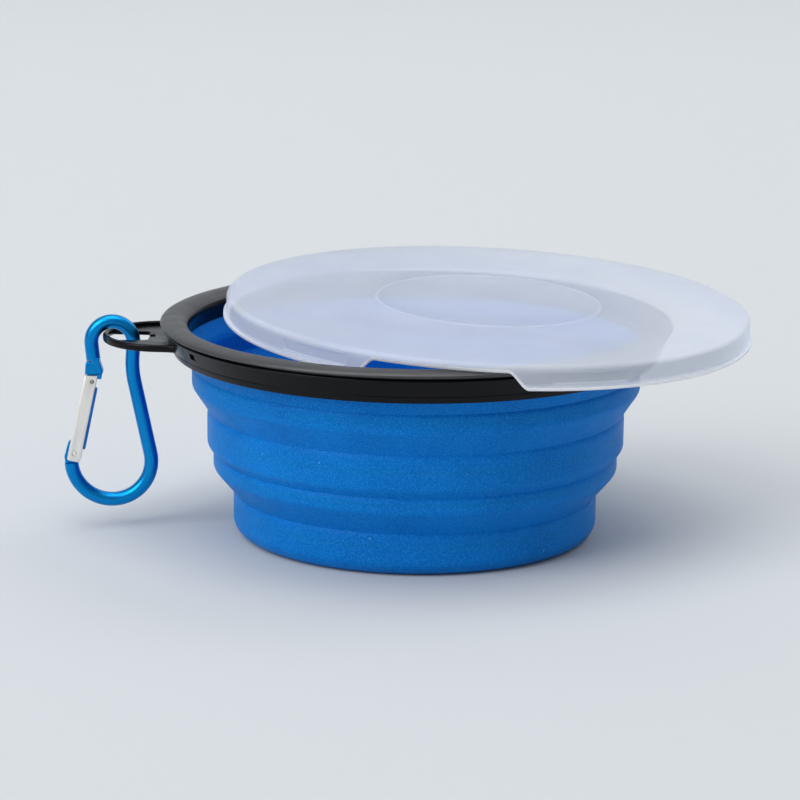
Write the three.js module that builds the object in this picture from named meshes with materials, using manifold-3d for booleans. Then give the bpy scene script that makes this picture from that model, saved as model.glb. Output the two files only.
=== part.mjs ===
// Collapsible travel bowl: silicone wall in bands and folds, stiff two-part rim with a hang tab,
// spring-gate carabiner in the tab and a frosted lid laid askew on the rim.
// Millimetres, +Z up, origin at the centre of the flat underside, hang tab towards -X.
import * as THREE from 'three';
import { mergeVertices } from 'three/addons/utils/BufferGeometryUtils.js';
import Module from 'manifold-3d';

// Fineness of the round shapes
const RING_SEGMENTS = 64;
const ROD_SIDES = 14;
const ROD_STEPS = 66;
const PIN_SIDES = 16;
const WELD_DISTANCE = 1e-4;

// Rim, the main size of the bowl
const RIM_RADIUS = 65.1;
const RIM_WIDTH = 7.3;
const RIM_DEPTH = 3.35;
const CROWN_HEIGHT = 1.2;
const CROWN_STEPS = 8;
const LIP_EDGE = 0.4;
const GROOVE_DEPTH = 1.3;
const GROOVE_DROP = 1.75;
const BEAD_RISE = 0.5;
const BEAD_DROP = 2.3;
const BAND_INSET = 1.5;
const BAND_DROP = 2.9;
const BAND_HEIGHT = 5.4;
const BAND_TAPER = 1.7;
const LOCK_BAND_HEIGHT = 1.7;
const RING_WALL = 1.25;
const LOCK_CLEARANCE = 0.75;
const FIT = 0.1;
const SEAM = 0.05;

// Silicone wall: heights from the floor upwards, steps of the radius from the rim inwards
const BAND_THICKNESS = 1.2;
const SHOULDER = 0.45;
const SHOULDER_STEPS = 3;
const NEST_CLEARANCE = 0.35;
const FLOOR_THICKNESS = 1.8;
const BASE_CORNER = 4.0;
const BASE_CORNER_STEPS = 5;
const BASE_HEIGHT = 11.0;
const LOWER_FOLD_HEIGHT = 6.3;
const LOWER_BAND_HEIGHT = 4.0;
const MIDDLE_FOLD_HEIGHT = 2.1;
const MIDDLE_BAND_HEIGHT = 8.9;
const UPPER_FOLD_HEIGHT = 6.3;
const COLLAR_BAND_HEIGHT = 4.9;
const COLLAR_FOLD_HEIGHT = 5.7;
const NECK_HEIGHT = 1.8;
const FLANGE_THICKNESS = 1.2;
const NECK_OVERLAP = 0.85;
const UPPER_STEP = 3.9;
const LOWER_STEP = 5.15;

// Hang tab
const TAB_REACH = 14.7;
const TAB_HALF_WIDTH = 15.5;
const TAB_HEIGHT = 1.9;
const TAB_WEB = 1.0;
const TAB_BORDER = 1.5;
const TAB_EDGE = 0.65;
const TAB_FLARE = 2.0;
const TAB_ARC_STEPS = 16;
const TAB_STEPS = 36;
const HOLE_HALF_WIDTH = 5.2;
const HOLE_START = 2.9;
const HOLE_CORNER = 1.2;
const NOTCH_DEPTH = 1.5;
const NOTCH_HALF_WIDTH = 1.5;

// Lid
const LID_FIT = 0.3;
const LID_WALL = 1.0;
const LID_SKIRT = 5.2;
const LID_EDGE = 1.6;
const LID_EDGE_STEPS = 4;
const LIP_RISE = 1.0;
const LIP_HEIGHT = 0.9;
const LID_RING_RADIUS = 28.5;
const LID_RING_WIDTH = 1.6;
const LID_RING_RISE = 0.4;
const LID_NOTCH_TOP_MARGIN = 1.0;
const LID_NOTCH_MARGIN = 5.5;
const LID_NOTCH_ROOF = 0.3;
const POCKET_ANGLES = [32, 106, 180, 254, 328];
const POCKET_HALF_ANGLE = 8.5;
const POCKET_DEPTH = 0.35;
const POCKET_TOP = 0.9;
const POCKET_HEIGHT = 2.6;
const POCKET_STEPS = 6;
const SNAP_RISE = 0.4;
const SNAP_HEIGHT = 1.1;
const LID_SHIFT_ANGLE = 11.2;
const LID_SHIFT_TRIES = 50;
const LID_LEAN_SIDE = 2.22;
const LID_GAP = 0.35;
const LID_NOTCH_CLEARANCE = 1.2;

// Carabiner
const ROD_RADIUS = 1.8;
const HOOK_RADIUS = 5.2;
const HOOK_CONTACT_ANGLE = 135;
const RIDE_GAP = 0.12;
const HOOK_NOSE_LEAN = 5;
const HOOK_NOSE_LENGTH = 5.0;
const HOOK_NECK_ANGLE = 4;
const BEND_RADIUS = 10.25;
const BEND_ACROSS = -0.52;
const BEND_DOWN = 31.0;
const BEND_END_BACK = 2.85;
const SPINE_LEAN = 12;
const SPINE_KINK = 3.5;

// Carabiner gate and its hinge
const PIVOT_INSET = 1.0;
const PIVOT_UP = 1.95;
const GATE_TOP_SHIFT = 0.09;
const GATE_HALF_WIDTH = 1.69;
const GATE_GAP = 0.3;
const GATE_HEEL = 0.3;
const CHEEK_THICKNESS = 0.85;
const WEB_THICKNESS = 0.8;
const WEB_START = 3.3;
const WEB_FROM_TOP = 4.1;
const HINGE_PIN_RADIUS = 0.65;
const LATCH_PIN_RADIUS = 0.45;
const LATCH_FROM_TOP = 1.4;
const LATCH_ACROSS = 0.7;
const PIN_CLEARANCE = 0.12;
const LATCH_CLEARANCE = 0.25;
const NOSE_NECK_HALF = 0.8;
const NOSE_NOTCH = 0.35;
const NOSE_FLARE_OUT = 1.6;
const NOSE_FLARE_IN = 3.25;
const NOSE_DEPTH = 3.75;
const BLADE_ROOT = 0.8;
const BLADE_HEEL = 1.3;
const BLADE_TAIL = 2.95;
const BLADE_CLEARANCE = 0.25;
const TONGUE_RADIUS = 1.5;
const TONGUE_REACH = 2.6;
const TONGUE_ROOT = 4.2;
const TONGUE_ARC = [-15, 5, 25, 45, 65, 85];
const SPRING_START = 3.0;
const SPRING_FROM_TOP = 4.5;
const SPRING_SEAT = 1.0;
const SPRING_RISE = 0.65;
const SPRING_CLEARANCE = 0.2;

// Heights that follow from the stack of bands and folds
const lowerFoldBottom = BASE_HEIGHT;
const lowerBandBottom = lowerFoldBottom + LOWER_FOLD_HEIGHT;
const middleFoldBottom = lowerBandBottom + LOWER_BAND_HEIGHT;
const middleBandBottom = middleFoldBottom + MIDDLE_FOLD_HEIGHT;
const upperFoldBottom = middleBandBottom + MIDDLE_BAND_HEIGHT;
const collarBandBottom = upperFoldBottom + UPPER_FOLD_HEIGHT;
const collarFoldBottom = collarBandBottom + COLLAR_BAND_HEIGHT;
const neckBottom = collarFoldBottom + COLLAR_FOLD_HEIGHT;
const flangeBottom = neckBottom + NECK_HEIGHT;
const flangeTop = flangeBottom + FLANGE_THICKNESS;
const ringUnderside = flangeTop + SEAM;
const rimTop = ringUnderside + RIM_DEPTH;
const lipLevel = rimTop - CROWN_HEIGHT;
const bandTop = rimTop - BAND_DROP;
const bandBottom = bandTop - BAND_HEIGHT;
const splitLevel = bandBottom + LOCK_BAND_HEIGHT;

// Radii that follow from the rim
const rimInner = RIM_RADIUS - RIM_WIDTH;
const crownRadius = RIM_RADIUS - RIM_WIDTH / 2;
const neckRadius = rimInner + NECK_OVERLAP;
const collarRadius = neckRadius - BAND_THICKNESS - NEST_CLEARANCE;
const middleRadius = collarRadius - UPPER_STEP;
const lowerRadius = middleRadius - BAND_THICKNESS - NEST_CLEARANCE;
const baseRadius = lowerRadius - LOWER_STEP;
const bandTopRadius = RIM_RADIUS - BAND_INSET;
const splitRadius = bandTopRadius - BAND_TAPER * (bandTop - splitLevel) / BAND_HEIGHT;
const bandBottomRadius = bandTopRadius - BAND_TAPER;
const ringWallInner = splitRadius - RING_WALL;
const lidInner = RIM_RADIUS + LID_FIT;
const lidRadius = lidInner + LID_WALL;
const lidLipRadius = lidRadius + LIP_RISE;

const wasm = await Module();
wasm.setup();

/** Welds shared corners, drops empty triangles and turns every face outwards. */
function closeGeometry(geometry) {
  geometry.deleteAttribute('normal');
  geometry.deleteAttribute('uv');
  const welded = mergeVertices(geometry, WELD_DISTANCE);
  const source = welded.getIndex().array;
  const place = welded.getAttribute('position');
  const corners = [];
  let volume = 0;
  const [a, b, c] = [new THREE.Vector3(), new THREE.Vector3(), new THREE.Vector3()];
  for (let i = 0; i < source.length; i += 3) {
    const [p, q, r] = [source[i], source[i + 1], source[i + 2]];
    if (p === q || q === r || r === p) continue;
    corners.push(p, q, r);
    a.fromBufferAttribute(place, p);
    b.fromBufferAttribute(place, q);
    c.fromBufferAttribute(place, r);
    volume += a.dot(b.cross(c));
  }
  welded.setIndex(volume < 0 ? corners.reverse() : corners);
  welded.computeVertexNormals();
  return welded;
}

/** Turns a closed geometry into a solid that can be added to or cut. */
function toSolid(geometry) {
  const closed = closeGeometry(geometry);
  return new wasm.Manifold(new wasm.Mesh({
    numProp: 3,
    vertProperties: new Float32Array(closed.getAttribute('position').array),
    triVerts: new Uint32Array(closed.getIndex().array),
  }));
}

/** Turns a finished solid back into a geometry. */
function toGeometry(solid) {
  const mesh = solid.getMesh();
  const geometry = new THREE.BufferGeometry();
  geometry.setAttribute('position', new THREE.BufferAttribute(mesh.vertProperties, 3));
  geometry.setIndex(Array.from(mesh.triVerts));
  return closeGeometry(geometry);
}

/** Turns a profile of [radius, height] points round the Z axis. */
function revolve(profile) {
  const outline = profile.map(([radius, height]) => new THREE.Vector2(radius, height));
  if (outline[0].x > 0) outline.push(outline[0].clone());
  const geometry = new THREE.LatheGeometry(outline, RING_SEGMENTS);
  geometry.rotateX(Math.PI / 2);
  return closeGeometry(geometry);
}

/** Points on part of an ellipse, angles in degrees. */
function ellipsePoints(centreX, centreY, halfWidth, halfHeight, start, end, steps) {
  return Array.from({ length: steps + 1 }, (_, i) => {
    const angle = THREE.MathUtils.degToRad(start + (end - start) * i / steps);
    return [centreX + halfWidth * Math.cos(angle), centreY + halfHeight * Math.sin(angle)];
  });
}

/** A flat outline in the XZ plane thickened to both sides along Y. */
function slab(shape, width, curveSegments = ROD_SIDES) {
  const geometry = new THREE.ExtrudeGeometry(shape, { depth: width, bevelEnabled: false, curveSegments });
  geometry.rotateX(Math.PI / 2);
  geometry.translate(0, width / 2, 0);
  return geometry;
}

/** A flat outline in the XY plane thickened upwards from a level. */
function plate(shape, level, height, curveSegments = TAB_ARC_STEPS) {
  const geometry = new THREE.ExtrudeGeometry(shape, { depth: height, bevelEnabled: false, curveSegments });
  geometry.translate(0, 0, level);
  return geometry;
}

/** A closed outline through [x, y] points. */
function outline(points) {
  return new THREE.Shape(points.map(([x, y]) => new THREE.Vector2(x, y)));
}

/** A round pin along Y through a point of the XZ plane. */
function pin([x, z], radius, length) {
  const geometry = new THREE.CylinderGeometry(radius, radius, length, PIN_SIDES);
  geometry.translate(x, 0, z);
  return geometry;
}

/** An upright band of the wall with a rounded shoulder at its top. */
function band(radius, bottom, height) {
  const top = bottom + height;
  return revolve([
    [radius - BAND_THICKNESS, bottom],
    [radius, bottom],
    ...ellipsePoints(radius - SHOULDER, top - SHOULDER, SHOULDER, SHOULDER, 0, 90, SHOULDER_STEPS),
    [radius - BAND_THICKNESS, top],
  ]);
}

/** A thin sloping fold between the shoulder of one band and the foot of the next. */
function fold(lowerBandRadius, upperBandRadius, bottom, height) {
  const low = bottom + SEAM;
  const high = bottom + height - SEAM;
  return revolve([
    [lowerBandRadius - BAND_THICKNESS, low],
    [lowerBandRadius - SHOULDER, low],
    [upperBandRadius, high],
    [upperBandRadius - BAND_THICKNESS, high],
  ]);
}

/** Floor and lowest wall of the bowl, with a rounded foot. */
function baseCup() {
  const inner = baseRadius - BAND_THICKNESS;
  const innerCorner = BASE_CORNER - BAND_THICKNESS;
  const shoulderCentre = BASE_HEIGHT - SHOULDER;
  return revolve([
    [0, 0],
    ...ellipsePoints(baseRadius - BASE_CORNER, BASE_CORNER, BASE_CORNER, BASE_CORNER,
      -90, 0, BASE_CORNER_STEPS),
    ...ellipsePoints(baseRadius - SHOULDER, shoulderCentre, SHOULDER, SHOULDER, 0, 90, SHOULDER_STEPS),
    [inner, BASE_HEIGHT],
    ...ellipsePoints(inner - innerCorner, FLOOR_THICKNESS + innerCorner, innerCorner, innerCorner,
      0, -90, BASE_CORNER_STEPS),
    [0, FLOOR_THICKNESS],
  ]);
}

/** Neck and flange of the silicone wall, clamped between the two rim rings. */
function bowlFlange() {
  const inner = neckRadius - BAND_THICKNESS;
  return revolve([
    [inner, neckBottom],
    [neckRadius, neckBottom],
    [neckRadius, flangeBottom],
    [ringWallInner - FIT, flangeBottom],
    [ringWallInner - FIT, flangeTop],
    [inner + SHOULDER, flangeTop],
    [inner, flangeTop - SHOULDER],
  ]);
}

/** A line drawn in a plane and set into space. */
class PlaneLine extends THREE.Curve {
  constructor(path, place) {
    super();
    this.path = path;
    this.place = place;
  }

  getPoint(t, target = new THREE.Vector3()) {
    const point = this.path.getPoint(t);
    return target.set(...this.place(point.x, point.y));
  }
}

/** Outline of the hang tab, drawn in by an inset, open towards the bowl. */
function tabOutline(inset) {
  const half = TAB_HALF_WIDTH - inset;
  const centre = TAB_HALF_WIDTH - TAB_REACH - RIM_RADIUS;
  const root = -crownRadius + TAB_HALF_WIDTH / 5;
  const shape = new THREE.Shape();
  shape.moveTo(root, half + TAB_FLARE);
  shape.quadraticCurveTo((root + centre) / 2, half, centre, half);
  shape.absarc(centre, 0, half, Math.PI / 2, 3 * Math.PI / 2, false);
  shape.quadraticCurveTo((root + centre) / 2, -half, root, -half - TAB_FLARE);
  return shape;
}

/** Slot of the hang tab with the small notch at its bowl end. */
function tabSlot() {
  const start = -RIM_RADIUS - HOLE_START;
  const half = HOLE_HALF_WIDTH;
  const shape = new THREE.Shape();
  shape.moveTo(-RIM_RADIUS - TAB_REACH, half);
  shape.lineTo(-RIM_RADIUS - TAB_REACH, -half);
  shape.lineTo(start - HOLE_CORNER, -half);
  shape.quadraticCurveTo(start, -half, start, -half + HOLE_CORNER);
  shape.lineTo(start, -NOTCH_HALF_WIDTH);
  shape.lineTo(start + NOTCH_DEPTH, -NOTCH_HALF_WIDTH);
  shape.lineTo(start + NOTCH_DEPTH, NOTCH_HALF_WIDTH);
  shape.lineTo(start, NOTCH_HALF_WIDTH);
  shape.lineTo(start, half - HOLE_CORNER);
  shape.quadraticCurveTo(start, half, start - HOLE_CORNER, half);
  return shape;
}

/** Upper rim ring with its crowned top, grooved edge and hang tab. */
function rimRing() {
  const ring = toSolid(revolve([
    ...ellipsePoints(crownRadius, lipLevel, RIM_WIDTH / 2, CROWN_HEIGHT, 180, 0, CROWN_STEPS),
    [RIM_RADIUS - LIP_EDGE / 2, lipLevel - LIP_EDGE],
    [RIM_RADIUS - GROOVE_DEPTH, rimTop - GROOVE_DROP],
    [RIM_RADIUS - GROOVE_DEPTH + BEAD_RISE, rimTop - BEAD_DROP],
    [bandTopRadius, bandTop],
    [splitRadius, splitLevel],
    [ringWallInner, splitLevel],
    [ringWallInner, ringUnderside],
    [neckRadius, ringUnderside],
    [rimInner, ringUnderside + NECK_OVERLAP],
  ]));
  const [high, wide] = [TAB_HEIGHT / 2, TAB_BORDER / 2];
  const section = outline([
    [-high, -wide + TAB_EDGE],
    [-high + TAB_EDGE, -wide],
    [high - TAB_EDGE, -wide],
    [high, -wide + TAB_EDGE],
    [high, wide - TAB_EDGE],
    [high - TAB_EDGE, wide],
    [-high + TAB_EDGE, wide],
    [-high, wide - TAB_EDGE],
  ]);
  const border = new THREE.ExtrudeGeometry(section, {
    steps: TAB_STEPS,
    bevelEnabled: false,
    extrudePath: new PlaneLine(tabOutline(wide), (x, y) => [x, y, splitLevel + high]),
  });
  const web = toSolid(plate(tabOutline(TAB_BORDER / 2), splitLevel + SEAM, TAB_WEB))
    .subtract(toSolid(plate(tabSlot(), splitLevel - TAB_HEIGHT, 3 * TAB_HEIGHT)));
  const inside = new THREE.CylinderGeometry(splitRadius - RING_WALL / 2, splitRadius - RING_WALL / 2,
    4 * TAB_HEIGHT, RING_SEGMENTS);
  inside.rotateX(Math.PI / 2);
  inside.translate(0, 0, splitLevel + TAB_HEIGHT);
  const tab = toSolid(border).add(web).subtract(toSolid(inside));
  return toGeometry(ring.add(tab));
}

/** Lower rim ring that clamps the flange from below. */
function rimLockRing() {
  const inner = neckRadius + LOCK_CLEARANCE;
  const level = splitLevel - SEAM;
  return revolve([
    [inner, bandBottom],
    [bandBottomRadius - FIT, bandBottom],
    [bandBottomRadius + FIT, bandBottom + SHOULDER],
    [splitRadius, level],
    [ringWallInner - FIT, level],
    [ringWallInner - FIT, flangeBottom - SEAM],
    [inner, flangeBottom - SEAM],
  ]);
}

/** A ring sector in the XY plane between two radii, centred on an angle in degrees from -Y. */
function sector(inner, outer, angle) {
  const start = angle - 90 - POCKET_HALF_ANGLE;
  const end = angle - 90 + POCKET_HALF_ANGLE;
  return outline([
    ...ellipsePoints(0, 0, outer, outer, start, end, POCKET_STEPS),
    ...ellipsePoints(0, 0, inner, inner, end, start, POCKET_STEPS),
  ]);
}

/** Angle about the lid's axis, from the bowl's axis to where two circles about these axes cross. */
function lidCrossing(shift, circleRadius, bowlRadius) {
  return Math.acos((shift ** 2 + circleRadius ** 2 - bowlRadius ** 2) / (2 * shift * circleRadius));
}

/** Angles between which the lid's skirt passes over the front of the rim. */
function rimSpan(shift) {
  return [
    lidCrossing(shift, lidLipRadius, rimInner - LID_NOTCH_CLEARANCE),
    lidCrossing(shift, lidInner, RIM_RADIUS + LID_NOTCH_CLEARANCE),
  ];
}

/** How far off the bowl's axis the lid lies for its notch to straddle the rim. */
function lidShift() {
  const notch = 2 * Math.asin((TAB_HALF_WIDTH + LID_NOTCH_MARGIN) / lidRadius);
  let near = lidLipRadius - rimInner + LID_NOTCH_CLEARANCE;
  let far = lidRadius;
  for (let i = 0; i < LID_SHIFT_TRIES; i++) {
    const middle = (near + far) / 2;
    const [start, end] = rimSpan(middle);
    if (end - start > notch) near = middle;
    else far = middle;
  }
  return far;
}

/** Pose of the lid: its plate rests on the front of the rim and its lip on the back. */
function lidPose() {
  const shift = lidShift();
  const heading = THREE.MathUtils.degToRad(LID_SHIFT_ANGLE);
  const [x, y] = [shift * Math.cos(heading), shift * Math.sin(heading)];
  const side = Math.tan(THREE.MathUtils.degToRad(LID_LEAN_SIDE));
  const back = heading + Math.PI - lidCrossing(shift, lidRadius, crownRadius);
  const backX = x + lidRadius * Math.cos(back);
  const backY = y + lidRadius * Math.sin(back);
  const drop = LID_SKIRT + side * backX;
  const square = crownRadius ** 2 - backY ** 2;
  const rest = crownRadius ** 2 * side ** 2 - drop ** 2;
  const front = (Math.sqrt((drop * backY) ** 2 - square * rest) - drop * backY) / square;
  const height = rimTop + LID_GAP - side * x + front * y + crownRadius * Math.hypot(side, front);
  const [start, end] = rimSpan(shift);
  const spin = heading + (start + end) / 2 - Math.PI / 2;
  const pose = new THREE.Matrix4().makeTranslation(x, y, height);
  pose.multiply(new THREE.Matrix4().makeRotationX(Math.atan(front)));
  pose.multiply(new THREE.Matrix4().makeRotationY(THREE.MathUtils.degToRad(LID_LEAN_SIDE)));
  return pose.multiply(new THREE.Matrix4().makeRotationZ(spin));
}

/** Frosted lid: plate with a plain ring, skirt with a notch for the tab, snap pockets and a lip. */
function lid() {
  const ringInner = LID_RING_RADIUS - LID_RING_WIDTH / 2;
  const ringOuter = LID_RING_RADIUS + LID_RING_WIDTH / 2;
  const lipTop = LIP_HEIGHT - LID_SKIRT;
  const innerEdge = LID_EDGE - LID_WALL;
  let body = toSolid(revolve([
    [0, LID_WALL],
    [ringInner, LID_WALL],
    [ringInner + LID_RING_RISE, LID_WALL + LID_RING_RISE],
    [ringOuter - LID_RING_RISE, LID_WALL + LID_RING_RISE],
    [ringOuter, LID_WALL],
    ...ellipsePoints(lidRadius - LID_EDGE, LID_WALL - LID_EDGE, LID_EDGE, LID_EDGE, 90, 0, LID_EDGE_STEPS),
    [lidRadius, lipTop + LIP_RISE / 2],
    [lidLipRadius, lipTop],
    [lidLipRadius, -LID_SKIRT],
    [lidInner, -LID_SKIRT],
    [lidInner, -innerEdge],
    [lidInner - innerEdge, 0],
    [0, 0],
  ]));
  const notchTop = TAB_HALF_WIDTH + LID_NOTCH_TOP_MARGIN;
  const notchBottom = TAB_HALF_WIDTH + LID_NOTCH_MARGIN;
  const notch = slab(outline([
    [-notchTop, -LID_NOTCH_ROOF],
    [-notchBottom, -LID_SKIRT - LID_WALL],
    [notchBottom, -LID_SKIRT - LID_WALL],
    [notchTop, -LID_NOTCH_ROOF],
  ]), lidRadius);
  notch.translate(0, -lidRadius, 0);
  body = body.subtract(toSolid(notch));
  for (const angle of POCKET_ANGLES) {
    const hollow = sector(lidRadius - POCKET_DEPTH, lidLipRadius, angle);
    const pocket = plate(hollow, -POCKET_TOP - POCKET_HEIGHT, POCKET_HEIGHT);
    const ridge = sector(lidInner - SNAP_RISE, lidInner + SNAP_RISE, angle);
    const snap = plate(ridge, -LID_SKIRT + SNAP_HEIGHT, SNAP_HEIGHT);
    body = body.subtract(toSolid(pocket)).add(toSolid(snap));
  }
  const geometry = toGeometry(body);
  geometry.applyMatrix4(lidPose());
  return geometry;
}

// Places in the carabiner's plane, as [x, z]
const barHalfWidth = TAB_BORDER / 2;
const barHalfHeight = TAB_HEIGHT / 2;
const barAxis = [barHalfWidth - TAB_REACH - RIM_RADIUS, splitLevel + barHalfHeight];
const contactAngle = THREE.MathUtils.degToRad(HOOK_CONTACT_ANGLE);
const contact = [Math.cos(contactAngle), Math.sin(contactAngle)];
const barReach = (barHalfWidth - TAB_EDGE) * Math.abs(contact[0])
  + (barHalfHeight - TAB_EDGE) * Math.abs(contact[1]) + TAB_EDGE;
const hookPlay = HOOK_RADIUS - ROD_RADIUS - barReach - RIDE_GAP;
const hookCentre = [barAxis[0] - contact[0] * hookPlay, barAxis[1] - contact[1] * hookPlay];
const bendCentre = [hookCentre[0] + BEND_ACROSS, hookCentre[1] - BEND_DOWN];
const pivotAcross = PIVOT_INSET - BEND_RADIUS;
const pivot = [bendCentre[0] + pivotAcross, bendCentre[1] + PIVOT_UP];
const bendEnd = Math.atan2(PIVOT_UP, pivotAcross) + BEND_END_BACK / BEND_RADIUS;
const bladeThickness = 2 * (ROD_RADIUS - CHEEK_THICKNESS - BLADE_CLEARANCE);

/** A point at an angle in degrees on a circle in the carabiner's plane. */
function onCircle([x, z], radius, degrees) {
  return ellipsePoints(x, z, radius, radius, degrees, degrees, 1)[0];
}

const noseStart = onCircle(hookCentre, HOOK_RADIUS, 180 - HOOK_NOSE_LEAN);
const noseLean = THREE.MathUtils.degToRad(HOOK_NOSE_LEAN);
const noseEnd = [
  noseStart[0] - HOOK_NOSE_LENGTH * Math.sin(noseLean),
  noseStart[1] - HOOK_NOSE_LENGTH * Math.cos(noseLean),
];
const noseBottom = noseEnd[1] - NOSE_DEPTH;
const gateLevel = noseBottom - GATE_GAP;
const gateLean = Math.atan2(noseEnd[0] + GATE_TOP_SHIFT - pivot[0], gateLevel - pivot[1]);
const gateTop = (gateLevel - pivot[1]) / Math.cos(gateLean);

/** A place given along and across the gate, as [x, z]. */
function gatePoint(along, across) {
  return [
    pivot[0] + along * Math.sin(gateLean) + across * Math.cos(gateLean),
    pivot[1] + along * Math.cos(gateLean) - across * Math.sin(gateLean),
  ];
}

const latch = gatePoint(gateTop - LATCH_FROM_TOP, LATCH_ACROSS);

/** Centre line of the round bar from the hook nose round to the hinge end. */
function barLine() {
  const degrees = THREE.MathUtils.degToRad;
  const neck = onCircle(hookCentre, HOOK_RADIUS, -HOOK_NECK_ANGLE);
  const tangent = onCircle(bendCentre, BEND_RADIUS, SPINE_LEAN);
  const spineSlope = Math.tan(degrees(SPINE_LEAN));
  const neckSlope = Math.tan(degrees(HOOK_NECK_ANGLE));
  const rise = ((neck[1] - tangent[1]) * neckSlope - neck[0] + tangent[0]) / (spineSlope + neckSlope);
  const kink = [tangent[0] - rise * spineSlope, tangent[1] + rise];
  const path = new THREE.Path();
  path.moveTo(noseEnd[0], noseEnd[1]);
  path.lineTo(noseStart[0], noseStart[1]);
  path.absarc(hookCentre[0], hookCentre[1], HOOK_RADIUS,
    Math.PI - noseLean, -degrees(HOOK_NECK_ANGLE), true);
  path.lineTo(kink[0] + SPINE_KINK * neckSlope, kink[1] + SPINE_KINK);
  path.quadraticCurveTo(kink[0], kink[1], kink[0] + SPINE_KINK * spineSlope, kink[1] - SPINE_KINK);
  path.lineTo(tangent[0], tangent[1]);
  path.absarc(bendCentre[0], bendCentre[1], BEND_RADIUS,
    degrees(SPINE_LEAN), bendEnd - 2 * Math.PI, true);
  return new PlaneLine(path, (x, z) => [x, 0, z]);
}

/** Round-bar frame with the hook nose, its latch blade and the hinge tongue. */
function carabinerFrame() {
  const section = new THREE.Shape();
  section.absarc(0, 0, ROD_RADIUS, 0, 2 * Math.PI);
  const bar = new THREE.ExtrudeGeometry(section, {
    steps: ROD_STEPS,
    curveSegments: ROD_SIDES,
    bevelEnabled: false,
    extrudePath: barLine(),
  });
  const neckTop = noseEnd[1] + NOSE_NECK_HALF;
  const block = slab(outline([
    [noseEnd[0] - NOSE_NECK_HALF, neckTop],
    [noseEnd[0] - NOSE_NECK_HALF, noseEnd[1] - NOSE_NOTCH],
    [noseEnd[0] - NOSE_FLARE_OUT + NOSE_NOTCH, noseEnd[1] - 2 * NOSE_NOTCH],
    [noseEnd[0] - NOSE_FLARE_OUT, noseBottom],
    [noseEnd[0] + NOSE_FLARE_IN, noseBottom],
    [noseEnd[0] + NOSE_FLARE_IN, noseEnd[1] - NOSE_FLARE_OUT],
    [noseEnd[0] + ROD_RADIUS, noseEnd[1]],
    [noseEnd[0] + NOSE_NECK_HALF, neckTop],
  ]), 2 * ROD_RADIUS - BLADE_CLEARANCE);
  const bladeTop = noseBottom + BLADE_ROOT;
  const blade = slab(outline([
    [latch[0] - BLADE_HEEL, bladeTop],
    [latch[0] - BLADE_HEEL, latch[1] - LATCH_PIN_RADIUS],
    [latch[0] - BLADE_HEEL / 2, latch[1] - BLADE_HEEL],
    [latch[0] + LATCH_PIN_RADIUS, latch[1] - BLADE_HEEL],
    [latch[0] + LATCH_PIN_RADIUS, latch[1] - LATCH_PIN_RADIUS],
    [latch[0] + BLADE_TAIL, latch[1] - 2 * LATCH_PIN_RADIUS],
    [latch[0] + BLADE_TAIL, bladeTop],
  ]), bladeThickness);
  const openAngle = Math.atan2(pivot[0] - latch[0], latch[1] - pivot[1]);
  const openDegrees = THREE.MathUtils.radToDeg(openAngle);
  const slotRadius = LATCH_PIN_RADIUS + LATCH_CLEARANCE;
  const slotLength = 2 * BLADE_TAIL;
  const slotEnd = [
    latch[0] + slotLength * Math.cos(openAngle),
    latch[1] + slotLength * Math.sin(openAngle),
  ];
  const slot = slab(outline([
    ...ellipsePoints(latch[0], latch[1], slotRadius, slotRadius,
      openDegrees + 90, openDegrees + 270, PIN_SIDES / 2),
    ...ellipsePoints(slotEnd[0], slotEnd[1], slotRadius, slotRadius,
      openDegrees - 90, openDegrees + 90, 2),
  ]), 2 * bladeThickness);
  const tongue = slab(outline([
    gatePoint(-TONGUE_ROOT, -TONGUE_RADIUS),
    gatePoint(-TONGUE_ROOT, TONGUE_RADIUS / 2),
    ...TONGUE_ARC.map((degrees) => {
      const angle = THREE.MathUtils.degToRad(degrees);
      return gatePoint(TONGUE_RADIUS * Math.sin(angle), TONGUE_RADIUS * Math.cos(angle));
    }),
    gatePoint(TONGUE_REACH, -HINGE_PIN_RADIUS / 2),
    gatePoint(TONGUE_REACH, -TONGUE_RADIUS),
  ]), bladeThickness);
  const frame = toSolid(bar)
    .add(toSolid(block))
    .add(toSolid(blade).subtract(toSolid(slot)))
    .add(toSolid(tongue).subtract(toSolid(pin(pivot, HINGE_PIN_RADIUS + PIN_CLEARANCE, 2 * ROD_RADIUS))));
  return toGeometry(frame);
}

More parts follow.
